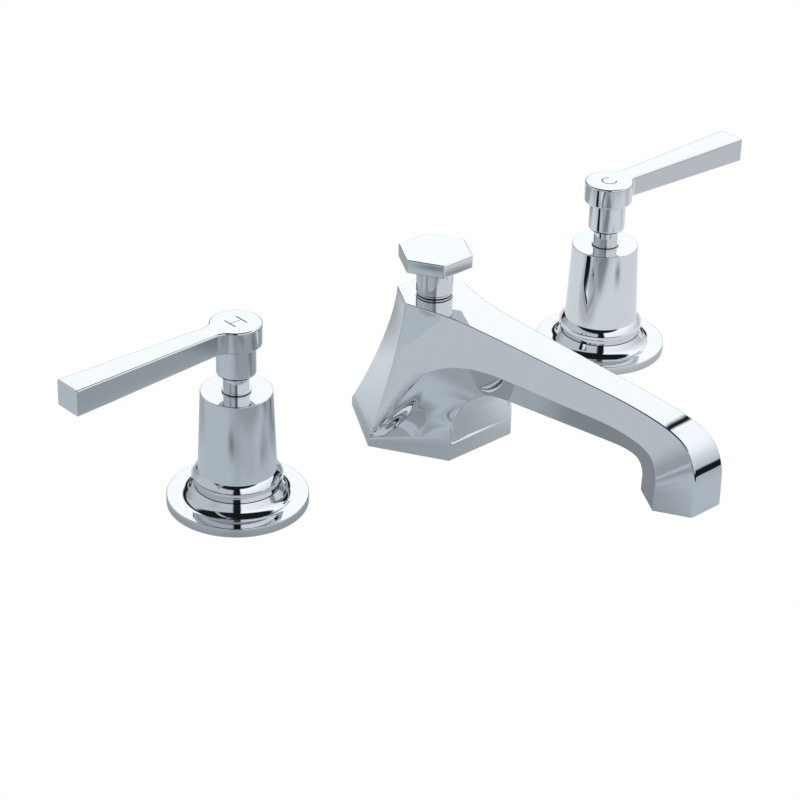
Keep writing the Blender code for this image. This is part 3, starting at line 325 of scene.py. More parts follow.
def cut(piece, *cutters):
    for cutter in cutters:
        combine(piece, cutter, "DIFFERENCE")
    return piece


def joined(name, *pieces):
    """Several pieces as one object."""
    bpy.ops.object.select_all(action="DESELECT")
    for piece in pieces:
        piece.select_set(True)
    bpy.context.view_layer.objects.active = pieces[0]
    bpy.ops.object.join()
    return named(name)


def copied(piece, name, shift=(0, 0, 0), mirror=False):
    """A copy with its own mesh, moved and, where asked, mirrored across the YZ plane."""
    alone(piece)
    bpy.ops.object.duplicate(linked=False)
    copy = named(name)
    begin_edit(copy)
    if mirror:
        bpy.ops.transform.resize(value=(-1, 1, 1), center_override=(0, 0, 0))
        bpy.ops.mesh.flip_normals()
    bpy.ops.transform.translate(value=shift)
    end_edit()
    return copy


def beveled(piece, width, segments=3, angle=SMOOTH_ANGLE):
    return modify(
        piece, "BEVEL", width=width, segments=segments, limit_method="ANGLE", angle_limit=angle,
        use_clamp_overlap=False, miter_outer="MITER_SHARP",
    )


def smoothed(piece, angle=SMOOTH_ANGLE):
    """Smooth shading with flat faces kept flat."""
    alone(piece)
    bpy.ops.object.shade_smooth_by_angle(angle=angle)
    return modify(piece, "WEIGHTED_NORMAL", keep_sharp=True, weight=50)


# Outlines


def rounded(corners):
    """Corners as an outline with an arc at each rounded one."""
    points = []
    count = len(corners)
    for i, (x, y, *rounding) in enumerate(corners):
        here = Vector((x, y))
        radius = rounding[0] if rounding else 0
        if not radius:
            points.append(here)
            continue
        back = (Vector(corners[i - 1][:2]) - here).normalized()
        ahead = (Vector(corners[(i + 1) % count][:2]) - here).normalized()
        half = back.angle(ahead) / 2
        centre = here + (back + ahead).normalized() * radius / math.sin(half)
        spoke = here + back * radius / math.tan(half) - centre
        side = 1 if back.x * ahead.y - back.y * ahead.x < 0 else -1
        turn = (HALF_TURN - 2 * half) * side
        steps = max(2, round(abs(turn) / ARC_ANGLE))
        for k in range(steps + 1):
            points.append(centre + Matrix.Rotation(turn * k / steps, 2) @ spoke)
    return points


def arc(centre, radius, first, last, steps=14):
    """Corners along an arc, by angles in degrees from the X axis."""
    angles = [math.radians(between(first, last, i / steps)) for i in range(steps + 1)]
    return tuple((centre[0] + radius * math.cos(a), centre[1] + radius * math.sin(a)) for a in angles)


def drawn(name, points):
    """A closed outline drawn from one vertex, point by point."""
    bpy.ops.mesh.primitive_plane_add(size=DOT, location=(0, 0, 0))
    piece = named(name)
    bpy.ops.object.mode_set(mode="EDIT")
    bpy.ops.mesh.merge(type="CENTER")
    bpy.ops.transform.translate(value=points[0])
    for start, end in zip(points, points[1:] + points[:1]):
        bpy.ops.mesh.extrude_region_move(TRANSFORM_OT_translate={"value": end - start})
    bpy.ops.mesh.select_all(action="SELECT")
    bpy.ops.mesh.remove_doubles(threshold=WELD)
    end_edit()
    return piece


def turned(name, corners, place=(0, 0, 0), steps=SPIN_STEPS):
    """A piece turned on a lathe from its half section."""
    points = [Vector((across, 0, up)) for across, up in rounded(corners)]
    piece = drawn(name, points)
    begin_edit(piece)
    bpy.ops.mesh.spin(steps=steps, angle=FULL_TURN, center=(0, 0, 0), axis=(0, 0, 1))
    tidy_mesh()
    end_edit()
    return put(piece, place)


def rod(name, radius, low, high, edge, place=(0, 0, 0), steps=SMALL_SPIN_STEPS):
    return turned(name, ((0, low), (radius, low, edge), (radius, high, edge), (0, high)), place, steps)


def raised(name, points, height):
    """A flat outline filled and drawn up to a height."""
    piece = drawn(name, points)
    begin_edit(piece)
    bpy.ops.mesh.edge_face_add()
    bpy.ops.mesh.extrude_region_move(TRANSFORM_OT_translate={"value": (0, 0, height)})
    tidy_mesh()
    end_edit()
    return piece


def block(name, size, centre, turn=0):
    bpy.ops.mesh.primitive_cube_add(size=1, location=centre, rotation=(0, 0, turn), scale=size)
    return applied(named(name))


def hexagonal_bar(name, radius, low, high, place=(0, 0, 0)):
    """A hexagonal bar with two corners on the X axis."""
    centre = Vector(place) + Vector((0, 0, (low + high) / 2))
    turn = (0, 0, math.radians(30))
    bpy.ops.mesh.primitive_cylinder_add(
        vertices=6, radius=radius, depth=high - low, location=centre, rotation=turn
    )
    return applied(named(name))


def thread(root, crest, low, high, pitch):
    """A helical ridge, to be joined to the plain core that it stands on."""
    flat = pitch / 8
    tooth = (
        (root - flat, -pitch / 2), (root, -pitch / 2 + flat / 2), (crest, -flat / 2),
        (crest, flat / 2), (root, pitch / 2 - flat / 2), (root - flat, pitch / 2 - flat),
    )
    piece = drawn("ridge", [Vector((across, 0, low + pitch / 2 + up)) for across, up in tooth])
    turns = int((high - low) / pitch) - 1
    modify(
        piece, "SCREW", angle=FULL_TURN, screw_offset=pitch, iterations=turns, steps=SMALL_SPIN_STEPS,
        render_steps=SMALL_SPIN_STEPS, use_merge_vertices=False,
    )
    begin_edit(piece)
    bpy.ops.mesh.remove_doubles(threshold=WELD)
    bpy.ops.mesh.select_all(action="DESELECT")
    bpy.ops.mesh.select_mode(type="EDGE")
    bpy.ops.mesh.select_non_manifold()
    bpy.ops.mesh.edge_face_add()
    bpy.ops.mesh.select_mode(type="VERT")
    tidy_mesh()
    end_edit()
    return piece


def between(start, end, share):
    return start + (end - start) * share


def bezier(points, steps):
    a, b, c, d = (Vector(point) for point in points)
    curve = []
    for i in range(steps + 1):
        t = i / steps
        curve.append((1 - t) ** 3 * a + 3 * (1 - t) ** 2 * t * b + 3 * (1 - t) * t**2 * c + t**3 * d)
    return curve


# Finishes


class Wire:
    """An output socket. Arithmetic on it adds Math nodes to its finish."""

    def __init__(self, finish, socket):
        self.finish = finish
        self.socket = socket

    def math(self, operation, first, second=0.0):
        return self.finish.node("Math", {"operation": operation}, {0: first, 1: second})

    def __add__(self, other):
        return self.math("ADD", self, other)

    def __radd__(self, other):
        return self.math("ADD", other, self)

    def __sub__(self, other):
        return self.math("SUBTRACT", self, other)

    def __rsub__(self, other):
        return self.math("SUBTRACT", other, self)

    def __mul__(self, other):
        return self.math("MULTIPLY", self, other)

    def __truediv__(self, other):
        return self.math("DIVIDE", self, other)

    def __pow__(self, other):
        return self.math("POWER", self, other)

    def __neg__(self):
        return self.math("MULTIPLY", self, -1.0)


class Finish:
    """The node tree of a material or of the world."""

    def __init__(self, owner):
        owner.use_nodes = True
        self.owner = owner
        self.tree = owner.node_tree
        self.tree.nodes.clear()

    def node(self, kind, settings=None, sockets=None, out=0):
        made = self.tree.nodes.new("ShaderNode" + kind)
        for name, value in (settings or {}).items():
            setattr(made, name, value)
        for name, value in (sockets or {}).items():
            if isinstance(value, Wire):
                self.tree.links.new(value.socket, made.inputs[name])
            else:
                made.inputs[name].default_value = value
        return Wire(self, made.outputs[out]) if len(made.outputs) else None

    def noise(self, at, scale, detail=2.0, roughness=0.5):
        sockets = {"Vector": at, "Scale": scale, "Detail": detail, "Roughness": roughness}
        return self.node("TexNoise", None, sockets)

    def stretched(self, at, scale):
        return self.node("Mapping", None, {"Vector": at, "Scale": scale})

    def blend(self, factor, first, second):
        """A colour between two others."""
        return self.node("Mix", {"data_type": "RGBA"}, {0: factor, 6: (*first, 1), 7: (*second, 1)}, 2)

    def step(self, value, low, high):
        """0 below the low value and 1 above the high one, with a soft rise."""
        settings = {"interpolation_type": "SMOOTHSTEP"}
        return self.node("MapRange", settings, {0: value, 1: low, 2: high, 3: 0.0, 4: 1.0})

    def field(self, *edges):
        """The product of steps, each given by its value, low and high."""
        product = self.step(*edges[0])
        for edge in edges[1:]:
            product = product * self.step(*edge)
        return product

    def bump(self, strength, distance, height):
        return self.node("Bump", None, {"Strength": strength, "Distance": distance, "Height": height})

    def surface(self, **sockets):
        """A Principled surface as the finish's output."""
        names = {name.replace("_", " "): value for name, value in sockets.items()}
        shader = self.node("BsdfPrincipled", None, names)
        self.node("OutputMaterial", None, {"Surface": shader})
        return self.owner


def finish(name):
    """A new finish with its Object coordinates."""
    made = Finish(bpy.data.materials.new(name))
    return made, made.node("TexCoord", None, None, 3)


def polished_chrome():
    """Plated metal: a cool bright face with a breath of haze and fine buffing lines."""
    made, at = finish("polished_chrome")
    haze = made.noise(at, 90.0, 3.0)
    buffing = made.noise(made.stretched(at, (1.0, 1.0, 14.0)), 420.0, 2.0)
    rough = haze * 0.018 + buffing * 0.014 + 0.022
    tone = made.blend(haze, (0.705, 0.722, 0.742), (0.725, 0.738, 0.754))
    waves = made.noise(at, 38.0, 1.0)
    bump = made.bump(0.05, 0.0004, waves)
    return made.surface(Base_Color=tone, Metallic=1.0, Roughness=rough, Normal=bump)


def satin_chrome():
    """The plated but unbuffed metal of small parts out of sight."""
    made, at = finish("satin_chrome")
    haze = made.noise(at, 260.0, 4.0)
    tone = made.blend(haze, (0.62, 0.635, 0.655), (0.70, 0.715, 0.73))
    bump = made.bump(0.15, 0.0002, haze)
    return made.surface(Base_Color=tone, Metallic=1.0, Roughness=haze * 0.12 + 0.14, Normal=bump)


def turned_brass():
    """Machined brass with fine lathe lines and some brown where hands have held it."""
    made, at = finish("turned_brass")
    lines = made.noise(made.stretched(at, (0.02, 0.02, 1.0)), 2600.0, 2.0)
    stain = made.noise(at, 75.0, 4.0, 0.6)
    worn = made.step(stain, 0.52, 0.72)
    tone = made.blend(worn, (0.70, 0.53, 0.26), (0.50, 0.35, 0.17))
    rough = lines * 0.12 + worn * 0.15 + 0.20
    bump = made.bump(0.25, 0.0001, lines)
    return made.surface(Base_Color=tone, Metallic=1.0, Roughness=rough, Normal=bump)


def brushed_steel():
    """Rolled stainless steel with short brushing streaks."""
    made, at = finish("brushed_steel")
    brushing_and_painted_stripe = made.noise(made.stretched(at, (1.0, 18.0, 18.0)), 160.0, 3.0)
    tone = made.blend(brushing_and_painted_stripe, (0.50, 0.51, 0.52), (0.66, 0.67, 0.68))
    bump = made.bump(0.2, 0.0001, brushing_and_painted_stripe)
    return made.surface(Base_Color=tone, Metallic=1.0, Roughness=brushing_and_painted_stripe * 0.2 + 0.24, Normal=bump)


def black_rubber():
    """Moulded rubber with a fine grain and a little dust."""
    made, at = finish("black_rubber")
    grain = made.noise(at, 1400.0, 3.0)
    dust = made.step(made.noise(at, 110.0, 4.0, 0.65), 0.5, 0.8)
    tone = made.blend(dust, (0.018, 0.018, 0.019), (0.060, 0.059, 0.057))
    bump = made.bump(0.35, 0.0001, grain)
    return made.surface(Base_Color=tone, Roughness=dust * 0.2 + 0.62, Normal=bump)


def fired_ceramic():
    """Lapped alumina: warm white with faint grey specks."""
    made, at = finish("fired_ceramic")
    speck = made.step(made.noise(at, 900.0, 2.0), 0.60, 0.75)
    tone = made.blend(speck, (0.80, 0.78, 0.72), (0.55, 0.53, 0.49))
    return made.surface(Base_Color=tone, Roughness=speck * 0.2 + 0.22)


def moulded_plastic():
    """White acetal with a soft moulded grain."""
    made, at = finish("moulded_plastic")
    grain = made.noise(at, 700.0, 3.0)
    tone = made.blend(made.noise(at, 60.0), (0.70, 0.70, 0.68), (0.80, 0.80, 0.78))
    bump = made.bump(0.2, 0.0001, grain)
    return made.surface(Base_Color=tone, Roughness=grain * 0.15 + 0.36, Normal=bump)


def dark_inlay():
    """The darkened floor of an engraved letter."""
    made, at = finish("dark_inlay")
    grain = made.noise(at, 900.0, 3.0)
    tone = made.blend(grain, (0.03, 0.035, 0.045), (0.09, 0.10, 0.12))
    return made.surface(Base_Color=tone, Metallic=0.6, Roughness=grain * 0.2 + 0.4)


CHROME = polished_chrome()
SATIN = satin_chrome()
BRASS = turned_brass()
STEEL = brushed_steel()
RUBBER = black_rubber()
CERAMIC = fired_ceramic()
PLASTIC = moulded_plastic()
INLAY = dark_inlay()


def fitted(piece, paint, body="fixed", *nodes):
    """A finished piece with its finish, its body and the solids that it stands for."""
    piece.data.materials.clear()
    piece.data.materials.append(paint)
    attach(piece, body)
    if nodes:
        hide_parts(*nodes)
    return piece


# The two handle groups


def lever_outline():
    """The hub and lever seen from above, lever along +X, with a fillet where they meet."""
    across = LEVER_ROOT + LEVER_FILLET
    along = math.sqrt((HUB_RADIUS + LEVER_FILLET) ** 2 - across**2)
    meet = math.atan2(across, along)
    back = []
    for i in range(OUTLINE_STEPS + 1):
        angle = between(meet, FULL_TURN - meet, i / OUTLINE_STEPS)
        back.append((HUB_RADIUS * math.cos(angle), HUB_RADIUS * math.sin(angle)))
    upper = []
    for i in range(FILLET_STEPS):
        angle = between(-RIGHT_ANGLE, meet - HALF_TURN, i / FILLET_STEPS)
        upper.append((along + LEVER_FILLET * math.cos(angle), across + LEVER_FILLET * math.sin(angle)))
    lower = [(x, -y) for x, y in reversed(upper)]
    return [(LEVER_REACH, LEVER_END)] + upper + back + lower + [(LEVER_REACH, -LEVER_END)]


def lever():
    """The cast hub and lever, with the lever's underside dropping towards its end."""
    low = HUB_TOP - HUB_DEPTH
    points = [Vector((x, y, low)) for x, y in lever_outline()]
    piece = raised("hot_handle", points, HUB_DEPTH)
    begin_edit(piece)
    pick("verts", lambda v: v.co.x > LEVER_REACH - DOT and v.co.z < low + DOT)
    bpy.ops.transform.translate(value=(0, 0, HUB_DEPTH - LEVER_END_DEPTH))
    end_edit()
    return beveled(piece, LEVER_EDGE)


def letter_h(height):
    """Two uprights and a bar, read by a user in front of the faucet."""
    size = (LETTER_STROKE, 2 * LETTER_HALF_HEIGHT, LETTER_DEPTH)
    left = block("letter", size, (-LETTER_HALF_WIDTH, 0, height))
    right = block("letter", size, (LETTER_HALF_WIDTH, 0, height))
    bar = block("letter", (2 * LETTER_HALF_WIDTH, LETTER_STROKE / 2, LETTER_DEPTH), (0, 0, height))
    return combine(combine(left, right, "UNION"), bar, "UNION")


def letter_c(height):
    """An open round stroke, read by a user in front of the faucet."""
    steps = range(LETTER_STEPS + 1)
    angles = [between(LETTER_OPENING, FULL_TURN - LETTER_OPENING, i / LETTER_STEPS) for i in steps]
    level = height - LETTER_DEPTH / 2
    points = []
    for side in (1, -1):
        radius = LETTER_ROUND + side * LETTER_STROKE / 2
        points += [Vector((radius * math.cos(a), radius * math.sin(a), level)) for a in angles[::side]]
    return raised("letter", points, LETTER_DEPTH)


def valve():
    """The brass valve body with its shank's thread, its outlet block and its threaded inlet."""
    core = turned("hot_valve_body", VALVE_CORNERS)
    flats = [block("flat", FLAT_SIZE, (0, side * FLAT_PLACE, OUTLET_HEIGHT), RIGHT_ANGLE) for side in (-1, 1)]
    cut(core, *flats)
    ridges = [thread(*sizes) for sizes in VALVE_THREADS]
    return smoothed(joined("hot_valve_body", core, *ridges), THREAD_ANGLE)


def nipple():
    """The barbed outlet with its hexagonal collar, lying along +X."""
    stem = turned("hot_outlet_nipple", NIPPLE_CORNERS, steps=SMALL_SPIN_STEPS)
    collar = hexagonal_bar("collar", *NIPPLE_COLLAR)
    beveled(collar, NIPPLE_COLLAR_EDGE, 2)
    piece = smoothed(joined("hot_outlet_nipple", stem, collar))
    return put(piece, (0, 0, OUTLET_HEIGHT), (0, RIGHT_ANGLE, 0))


def ring(name, bore, radius, low, high, edge):
    corners = ((bore, low, edge), (radius, low, edge), (radius, high, edge), (bore, high, edge))
    return smoothed(turned(name, corners))


def locknut(name, radius, bore, low, high, place=(0, 0, 0)):
    """A hexagonal nut whose corners are turned down at both ends."""
    piece = hexagonal_bar(name, radius, low, high)
    flat = radius * HEX_FLAT
    drop = (radius - flat) * NUT_SLOPE
    reach = radius + DOT
    blank = turned("blank", (
        (0, low), (flat, low), (reach, low + drop), (reach, high - drop), (flat, high), (0, high),
    ))
    combine(piece, blank, "INTERSECT")
    mouth = bore + BORE_CHAMFER
    cut(piece, turned("hole", (
        (0, low - DOT), (bore + DOT, low - DOT), (mouth, low), (bore, low + BORE_CHAMFER),
        (bore, high - BORE_CHAMFER), (mouth, high), (bore + DOT, high + DOT), (0, high + DOT),
    )))
    return put(smoothed(piece, NUT_ANGLE), place)


def set_screw():
    """A small hexagon-socket screw at the back of the collar."""
    piece = rod("hot_set_screw", *SCREW)
    cut(piece, hexagonal_bar("socket", *SCREW_SOCKET))
    return put(smoothed(piece), SCREW_PLACE, (-RIGHT_ANGLE, 0, 0))


def handle_groups():
    """Models the hot handle's pieces at the origin, then sets one at each handle's place."""
    cold = lever()
    hot = copied(cold, "hot_handle", mirror=True)
    for label, side, handle, letter in (("hot", -1, hot, letter_h), ("cold", 1, cold, letter_c)):
        place = (side * HANDLE_PLACE, 0, 0)
        body = label + "_lever"
        cut(handle, letter(HUB_TOP))
        inlay = letter(HUB_TOP - LETTER_DEPTH * INLAY_SHARE)
        handle.name = handle.data.name = label + "_handle_lever"
        inlay.name = inlay.data.name = label + "_letter"
        fitted(put(smoothed(handle), place), CHROME, body, label + "_handle")
        fitted(put(inlay, place), INLAY, body)
    collar = smoothed(turned("hot_collar", COLLAR_CORNERS))
    stem = smoothed(turned("hot_stem", STEM_CORNERS))
    cove = arc(COVE_CENTRE, COVE_RADIUS, *COVE_SPAN)
    rose = smoothed(turned("hot_rose", ROSE_RIM + cove + ROSE_INSIDE))
    swell = arc(SWELL_CENTRE, SWELL_RADIUS, *SWELL_SPAN)
    sleeve = smoothed(turned("hot_sleeve_body", SLEEVE_FOOT + swell + SLEEVE_TOP))
    screw = set_screw()
    cut(collar, put(rod("hole", *SCREW_HOLE), SCREW_HOLE_PLACE, (-RIGHT_ANGLE, 0, 0)))
    seal = ring("hot_deck_seal_ring", *DECK_SEAL)
    rubber_washer = ring("hot_rubber_ring", *HANDLE_WASHER)
    metal_washer = ring("hot_metal_ring", *HANDLE_PLATE)
    nut = locknut("hot_nut", *HANDLE_NUT)
    body = valve()
    outlet = nipple()
    parts = (
        (collar, CHROME, "collar", "lever", ()), (stem, CHROME, "stem", "lever", ("stem_adapter",)),
        (screw, SATIN, "set_screw", "lever", ()), (rose, CHROME, "rose", "fixed", ("escutcheon",)),
        (sleeve, CHROME, "tapered_body", "fixed", ("sleeve",)),
        (seal, RUBBER, "seal_ring", "fixed", ("deck_seal",)),
        (rubber_washer, RUBBER, "rubber_ring", "fixed", ("rubber_washer",)),
        (metal_washer, STEEL, "metal_ring", "fixed", ("metal_washer",)),
        (nut, BRASS, "nut", "fixed", ("locknut",)), (body, BRASS, "valve", "fixed", ("valve_body",)),
        (outlet, BRASS, "nipple", "fixed", ("outlet_nipple",)),
    )
    for piece, paint, ending, body_name, nodes in parts:
        cold_piece = copied(piece, "cold_" + ending, (HANDLE_PLACE, 0, 0), mirror=ending == "nipple")
        hot_piece = put(piece, (-HANDLE_PLACE, 0, 0))
        hot_piece.name = hot_piece.data.name = "hot_" + ending
        for label, item in (("hot", hot_piece), ("cold", cold_piece)):
            rider = label + "_lever" if body_name == "lever" else "fixed"
            fitted(item, paint, rider, *(f"{label}_{node}" for node in nodes))


# The spout


def arm_sections():
    """Top, middle and bottom edge points of the arm's left side, from its start to the outlet."""
    sections = []
    for i in range(ARM_STEPS + 1):
        share = i / ARM_STEPS
        y = -between(ARM_START, ARM_END, share)
        radius = between(ARM_START_RADIUS, ARM_END_RADIUS, share)
        depth = radius * between(*ARM_DEPTHS, share)
        top = Vector((-radius * between(*TOP_WIDTHS, share), y, SPOUT_HEIGHT))
        middle = Vector((-radius, y, SPOUT_HEIGHT - depth * LIP_SHARE))
        bottom = Vector((-radius * LOWER_WIDTH, y, SPOUT_HEIGHT - depth))
        sections.append((top, middle, bottom))
    front = -NOSE_REACH - NOSE_RADIUS * HEX_FLAT
    back = -NOSE_REACH + NOSE_RADIUS * HEX_FLAT
    outer = Vector((0, front + BEND_OUTER_RADIUS, SPOUT_HEIGHT - BEND_OUTER_RADIUS))
    inner = Vector((0, back + BEND_INNER_RADIUS, sections[-1][2].z - BEND_INNER_RADIUS))
    for i in range(1, BEND_STEPS + 1):
        share = i / BEND_STEPS
        angle = share * RIGHT_ANGLE
        radius = between(ARM_END_RADIUS, BEND_NOSE_RADIUS, share)
        spoke = Vector((0, -math.sin(angle), math.cos(angle)))
        top = outer + BEND_OUTER_RADIUS * spoke
        bottom = inner + BEND_INNER_RADIUS * spoke
        middle = bottom.lerp(top, 1 - between(LIP_SHARE, HEX_HALF, share))
        top.x = -radius * between(TOP_WIDTHS[1], HEX_HALF, share)
        middle.x = -radius
        bottom.x = -radius * HEX_HALF
        sections.append((top, middle, bottom))
    last = sections[-1]
    corner = -NOSE_RADIUS * HEX_HALF
    tip = (
        Vector((corner, front, NOSE_HEIGHT)),
        Vector((-NOSE_RADIUS, -NOSE_REACH, NOSE_HEIGHT)),
        Vector((corner, back, NOSE_HEIGHT)),
    )
    for i in range(1, NOSE_STEPS + 1):
        sections.append(tuple(start.lerp(end, i / NOSE_STEPS) for start, end in zip(last, tip)))
    return sections


def eased(line, joints, passes=80, width=14):
    """A line of points with its kinks near the given joints rounded off."""
    points = [point.copy() for point in line]
    weights = [max((max(0.0, 1 - abs(i - joint) / width) for joint in joints)) for i in range(len(points))]
    for _ in range(passes):
        moved = [point.copy() for point in points]
        for i in range(1, len(points) - 1):
            middle = (points[i - 1] + points[i + 1]) / 2
            moved[i] = points[i].lerp(middle, weights[i] * 0.5)
        points = moved
    return points


def pull(x, z, across, along, up):
    """A control point of a root curve, by shares of a width, the arm's start and a height."""
    return (x * across, -ARM_START * along, z * up)


def spout_edges():
    """The three long edges of the spout's left side, from the platform and foot to the outlet."""
    sections = arm_sections()
    top, middle, bottom = sections[0]
    foot = Vector((-FOOT_RADIUS, 0, PLINTH_HEIGHT))
    corner = Vector((-FOOT_RADIUS * HEX_HALF, -FOOT_RADIUS * HEX_FLAT, FRONT_PLINTH_HEIGHT))
    platform = Vector((-PLATFORM_RADIUS, 0, SPOUT_HEIGHT))
    rise = Vector((0, 0, SPOUT_HEIGHT * FOOT_RISE))
    high = SPOUT_HEIGHT
    controls = (
        (platform, pull(platform.x, high, *TOP_PULLS[0]), pull(top.x, high, *TOP_PULLS[1]), top),
        (foot, pull(foot.x, high, *LIP_PULLS[0]), pull(middle.x, high, *LIP_PULLS[1]), middle),
        (corner, corner + rise, pull(bottom.x, bottom.z, *LOWER_PULL), bottom),
    )
    edges = []
    for k, control in enumerate(controls):
        line = bezier(control, ROOT_STEPS) + [section[k] for section in sections[1:]]
        edges.append(eased(line, (ROOT_STEPS, ROOT_STEPS + ARM_STEPS)))
    return edges


def cove_line():
    """The concave rise of the foot's corners to the platform, as (radius, height) points."""
    shares = ((1, 0), *COVE_PULLS, (0, 1))
    radii = [between(PLATFORM_RADIUS, FOOT_RADIUS, across) for across, _ in shares]
    heights = [between(PLINTH_HEIGHT, SPOUT_HEIGHT, up) for _, up in shares]
    return bezier(list(zip(radii, heights)), SIDE_ROWS)


def patch(rows):
    """A grid primitive whose points are pulled to rows of places."""
    across = len(rows[0])
    bpy.ops.mesh.primitive_grid_add(x_subdivisions=across - 1, y_subdivisions=len(rows) - 1, size=1)
    piece = named("patch")
    bpy.ops.object.mode_set(mode="EDIT")
    mesh = bmesh.from_edit_mesh(piece.data)
    mesh.verts.ensure_lookup_table()
    places = [place for row in rows for place in row]
    for vertex, place in zip(mesh.verts, places):
        vertex.co = place
    bmesh.update_edit_mesh(piece.data)
    end_edit()
    return piece


def ruled(first, second, steps):
    """Rows of places between two lines of the same number of points."""
    return [[a.lerp(b, j / steps) for a, b in zip(first, second)] for j in range(steps + 1)]


def to_middle(line, steps=2):
    """Rows from a line to its shadow on the plane through the spout's middle."""
    return ruled(line, [Vector((0, point.y, point.z)) for point in line], steps)


def stretch(start, end, steps):
    """Places along a straight line."""
    return [start.lerp(end, i / steps) for i in range(steps + 1)]


def upper_side(middle_edge, top_edge, side_corner):
    """Rows of places over the upper side, which bulges like the cove near the platform."""
    rows = []
    for j in range(SIDE_ROWS + 1):
        up = j / SIDE_ROWS
        bulge = side_corner[j] - side_corner[0].lerp(side_corner[-1], up)
        row = []
        for i, (low, high) in enumerate(zip(middle_edge, top_edge)):
            fade = max(0.0, 1 - i / ROOT_STEPS) ** 2
            row.append(low.lerp(high, up) + fade * bulge)
        rows.append(row)
    return rows


def lower_side(bottom_edge, middle_edge):
    """Rows of places over the lower side, with a fine groove under the lip in a leaf-shaped hollow."""
    rows = ruled(bottom_edge, middle_edge, LOWER_ROWS)
    for i in range(1, HOLLOW_LENGTH):
        fullness = math.sin(HALF_TURN * (i / HOLLOW_LENGTH) ** 0.6)
        rise = middle_edge[i] - bottom_edge[i]
        inward = (bottom_edge[i + 1] - bottom_edge[i - 1]).cross(rise).normalized()
        if inward.x < 0:
            inward = -inward
        for j in range(1, LOWER_ROWS):
            down = (1 - j / LOWER_ROWS) * rise.length
            for width, depth in HOLLOWS:
                if down < width * fullness:
                    sink = depth * fullness * math.sin(HALF_TURN * down / (width * fullness)) ** 2
                    rows[j][i] = rows[j][i] + sink * inward
    return rows


def ledge_cutter():
    """A shallow scoop above the plinth's front, deepest near its left corner and gone at the right."""
    face = SPOUT_PLACE.y - FOOT_RADIUS * HEX_FLAT
    across = [LEDGE_START - LEDGE_SKIN, LEDGE_START, between(LEDGE_START, LEDGE_FULL, 0.5), LEDGE_FULL]
    across += [between(LEDGE_FULL, LEDGE_STOP, k / LEDGE_STEPS) for k in range(1, LEDGE_STEPS + 1)]
    across.append(LEDGE_STOP + LEDGE_SKIN)
    rows = []
    for height, depth in LEDGE_HEIGHTS:
        row = []
        for x in across:
            rise = (x - LEDGE_START) / (LEDGE_FULL - LEDGE_START)
            share = max(0.0, min(1.0, rise, (LEDGE_STOP - x) / (LEDGE_STOP - LEDGE_FULL)))
            inside = LEDGE_START <= x <= LEDGE_STOP and depth >= 0
            row.append(Vector((x, face + (depth * share if inside else -LEDGE_SKIN), height)))
        rows.append(row)
    piece = patch(rows)
    begin_edit(piece)
    bpy.ops.mesh.extrude_region_move(TRANSFORM_OT_translate={"value": (0, -LEDGE_OUT, 0)})
    tidy_mesh()
    end_edit()
    return piece


def spout():
    """The cast spout: patches of its left side between its edges, mirrored, welded and bevelled."""
    top_edge, middle_edge, bottom_edge = spout_edges()
    cove = cove_line()
    side_corner = [Vector((-radius, 0, height)) for radius, height in cove]
    back_corner = [Vector((-radius * HEX_HALF, radius * HEX_FLAT, height)) for radius, height in cove]
    upper = upper_side(middle_edge, top_edge, side_corner)
    corners = ((-HEX_HALF, HEX_FLAT), (-1, 0), (-HEX_HALF, -HEX_FLAT))
    foot = [Vector((FOOT_RADIUS * x, FOOT_RADIUS * y, 0)) for x, y in corners]
    back_low = stretch(foot[0], foot[1], SIDE_ROWS)
    front_low = stretch(foot[2], foot[1], LOWER_ROWS)
    tip = [row[-1] for row in reversed(upper)]
    tip += stretch(middle_edge[-1], bottom_edge[-1], LOWER_ROWS)[1:]
    patches = [
        patch(upper),
        patch(lower_side(bottom_edge, middle_edge)),
        patch(to_middle(top_edge)),
        patch(to_middle(bottom_edge)),
        patch(ruled(back_corner, side_corner, SIDE_ROWS)),
        patch(to_middle(back_corner)),
        patch(to_middle(stretch(back_corner[-1], top_edge[0], SIDE_ROWS))),
        patch(ruled(back_low, stretch(back_corner[0], side_corner[0], SIDE_ROWS), PLINTH_ROWS)),
        patch(ruled(front_low, stretch(bottom_edge[0], middle_edge[0], LOWER_ROWS), PLINTH_ROWS)),
        patch(to_middle(stretch(foot[0], back_corner[0], PLINTH_ROWS))),
        patch(to_middle(stretch(foot[2], bottom_edge[0], PLINTH_ROWS))),
        patch(to_middle(back_low + front_low[-2::-1])),
        patch(to_middle(tip)),
    ]
    piece = joined("spout_casting", *patches)
    begin_edit(piece)
    bpy.ops.mesh.remove_doubles(threshold=WELD)
    end_edit()
    modify(piece, "MIRROR", use_axis=(True, False, False), use_clip=True, merge_threshold=WELD * 10)
    begin_edit(piece)
    bpy.ops.mesh.remove_doubles(threshold=WELD * 10)
    bpy.ops.mesh.normals_make_consistent(inside=False)
    spot = lambda p: (round(abs(p.x), 6), round(p.y, 6), round(p.z, 6))
    lip = {spot(p) for p in middle_edge}
    pick("edges", lambda e: all(spot(v.co) in lip for v in e.verts))
    bpy.ops.mesh.bevel(offset=LIP_EDGE, segments=LIP_SEGMENTS, clamp_overlap=True)
    end_edit()
    return piece


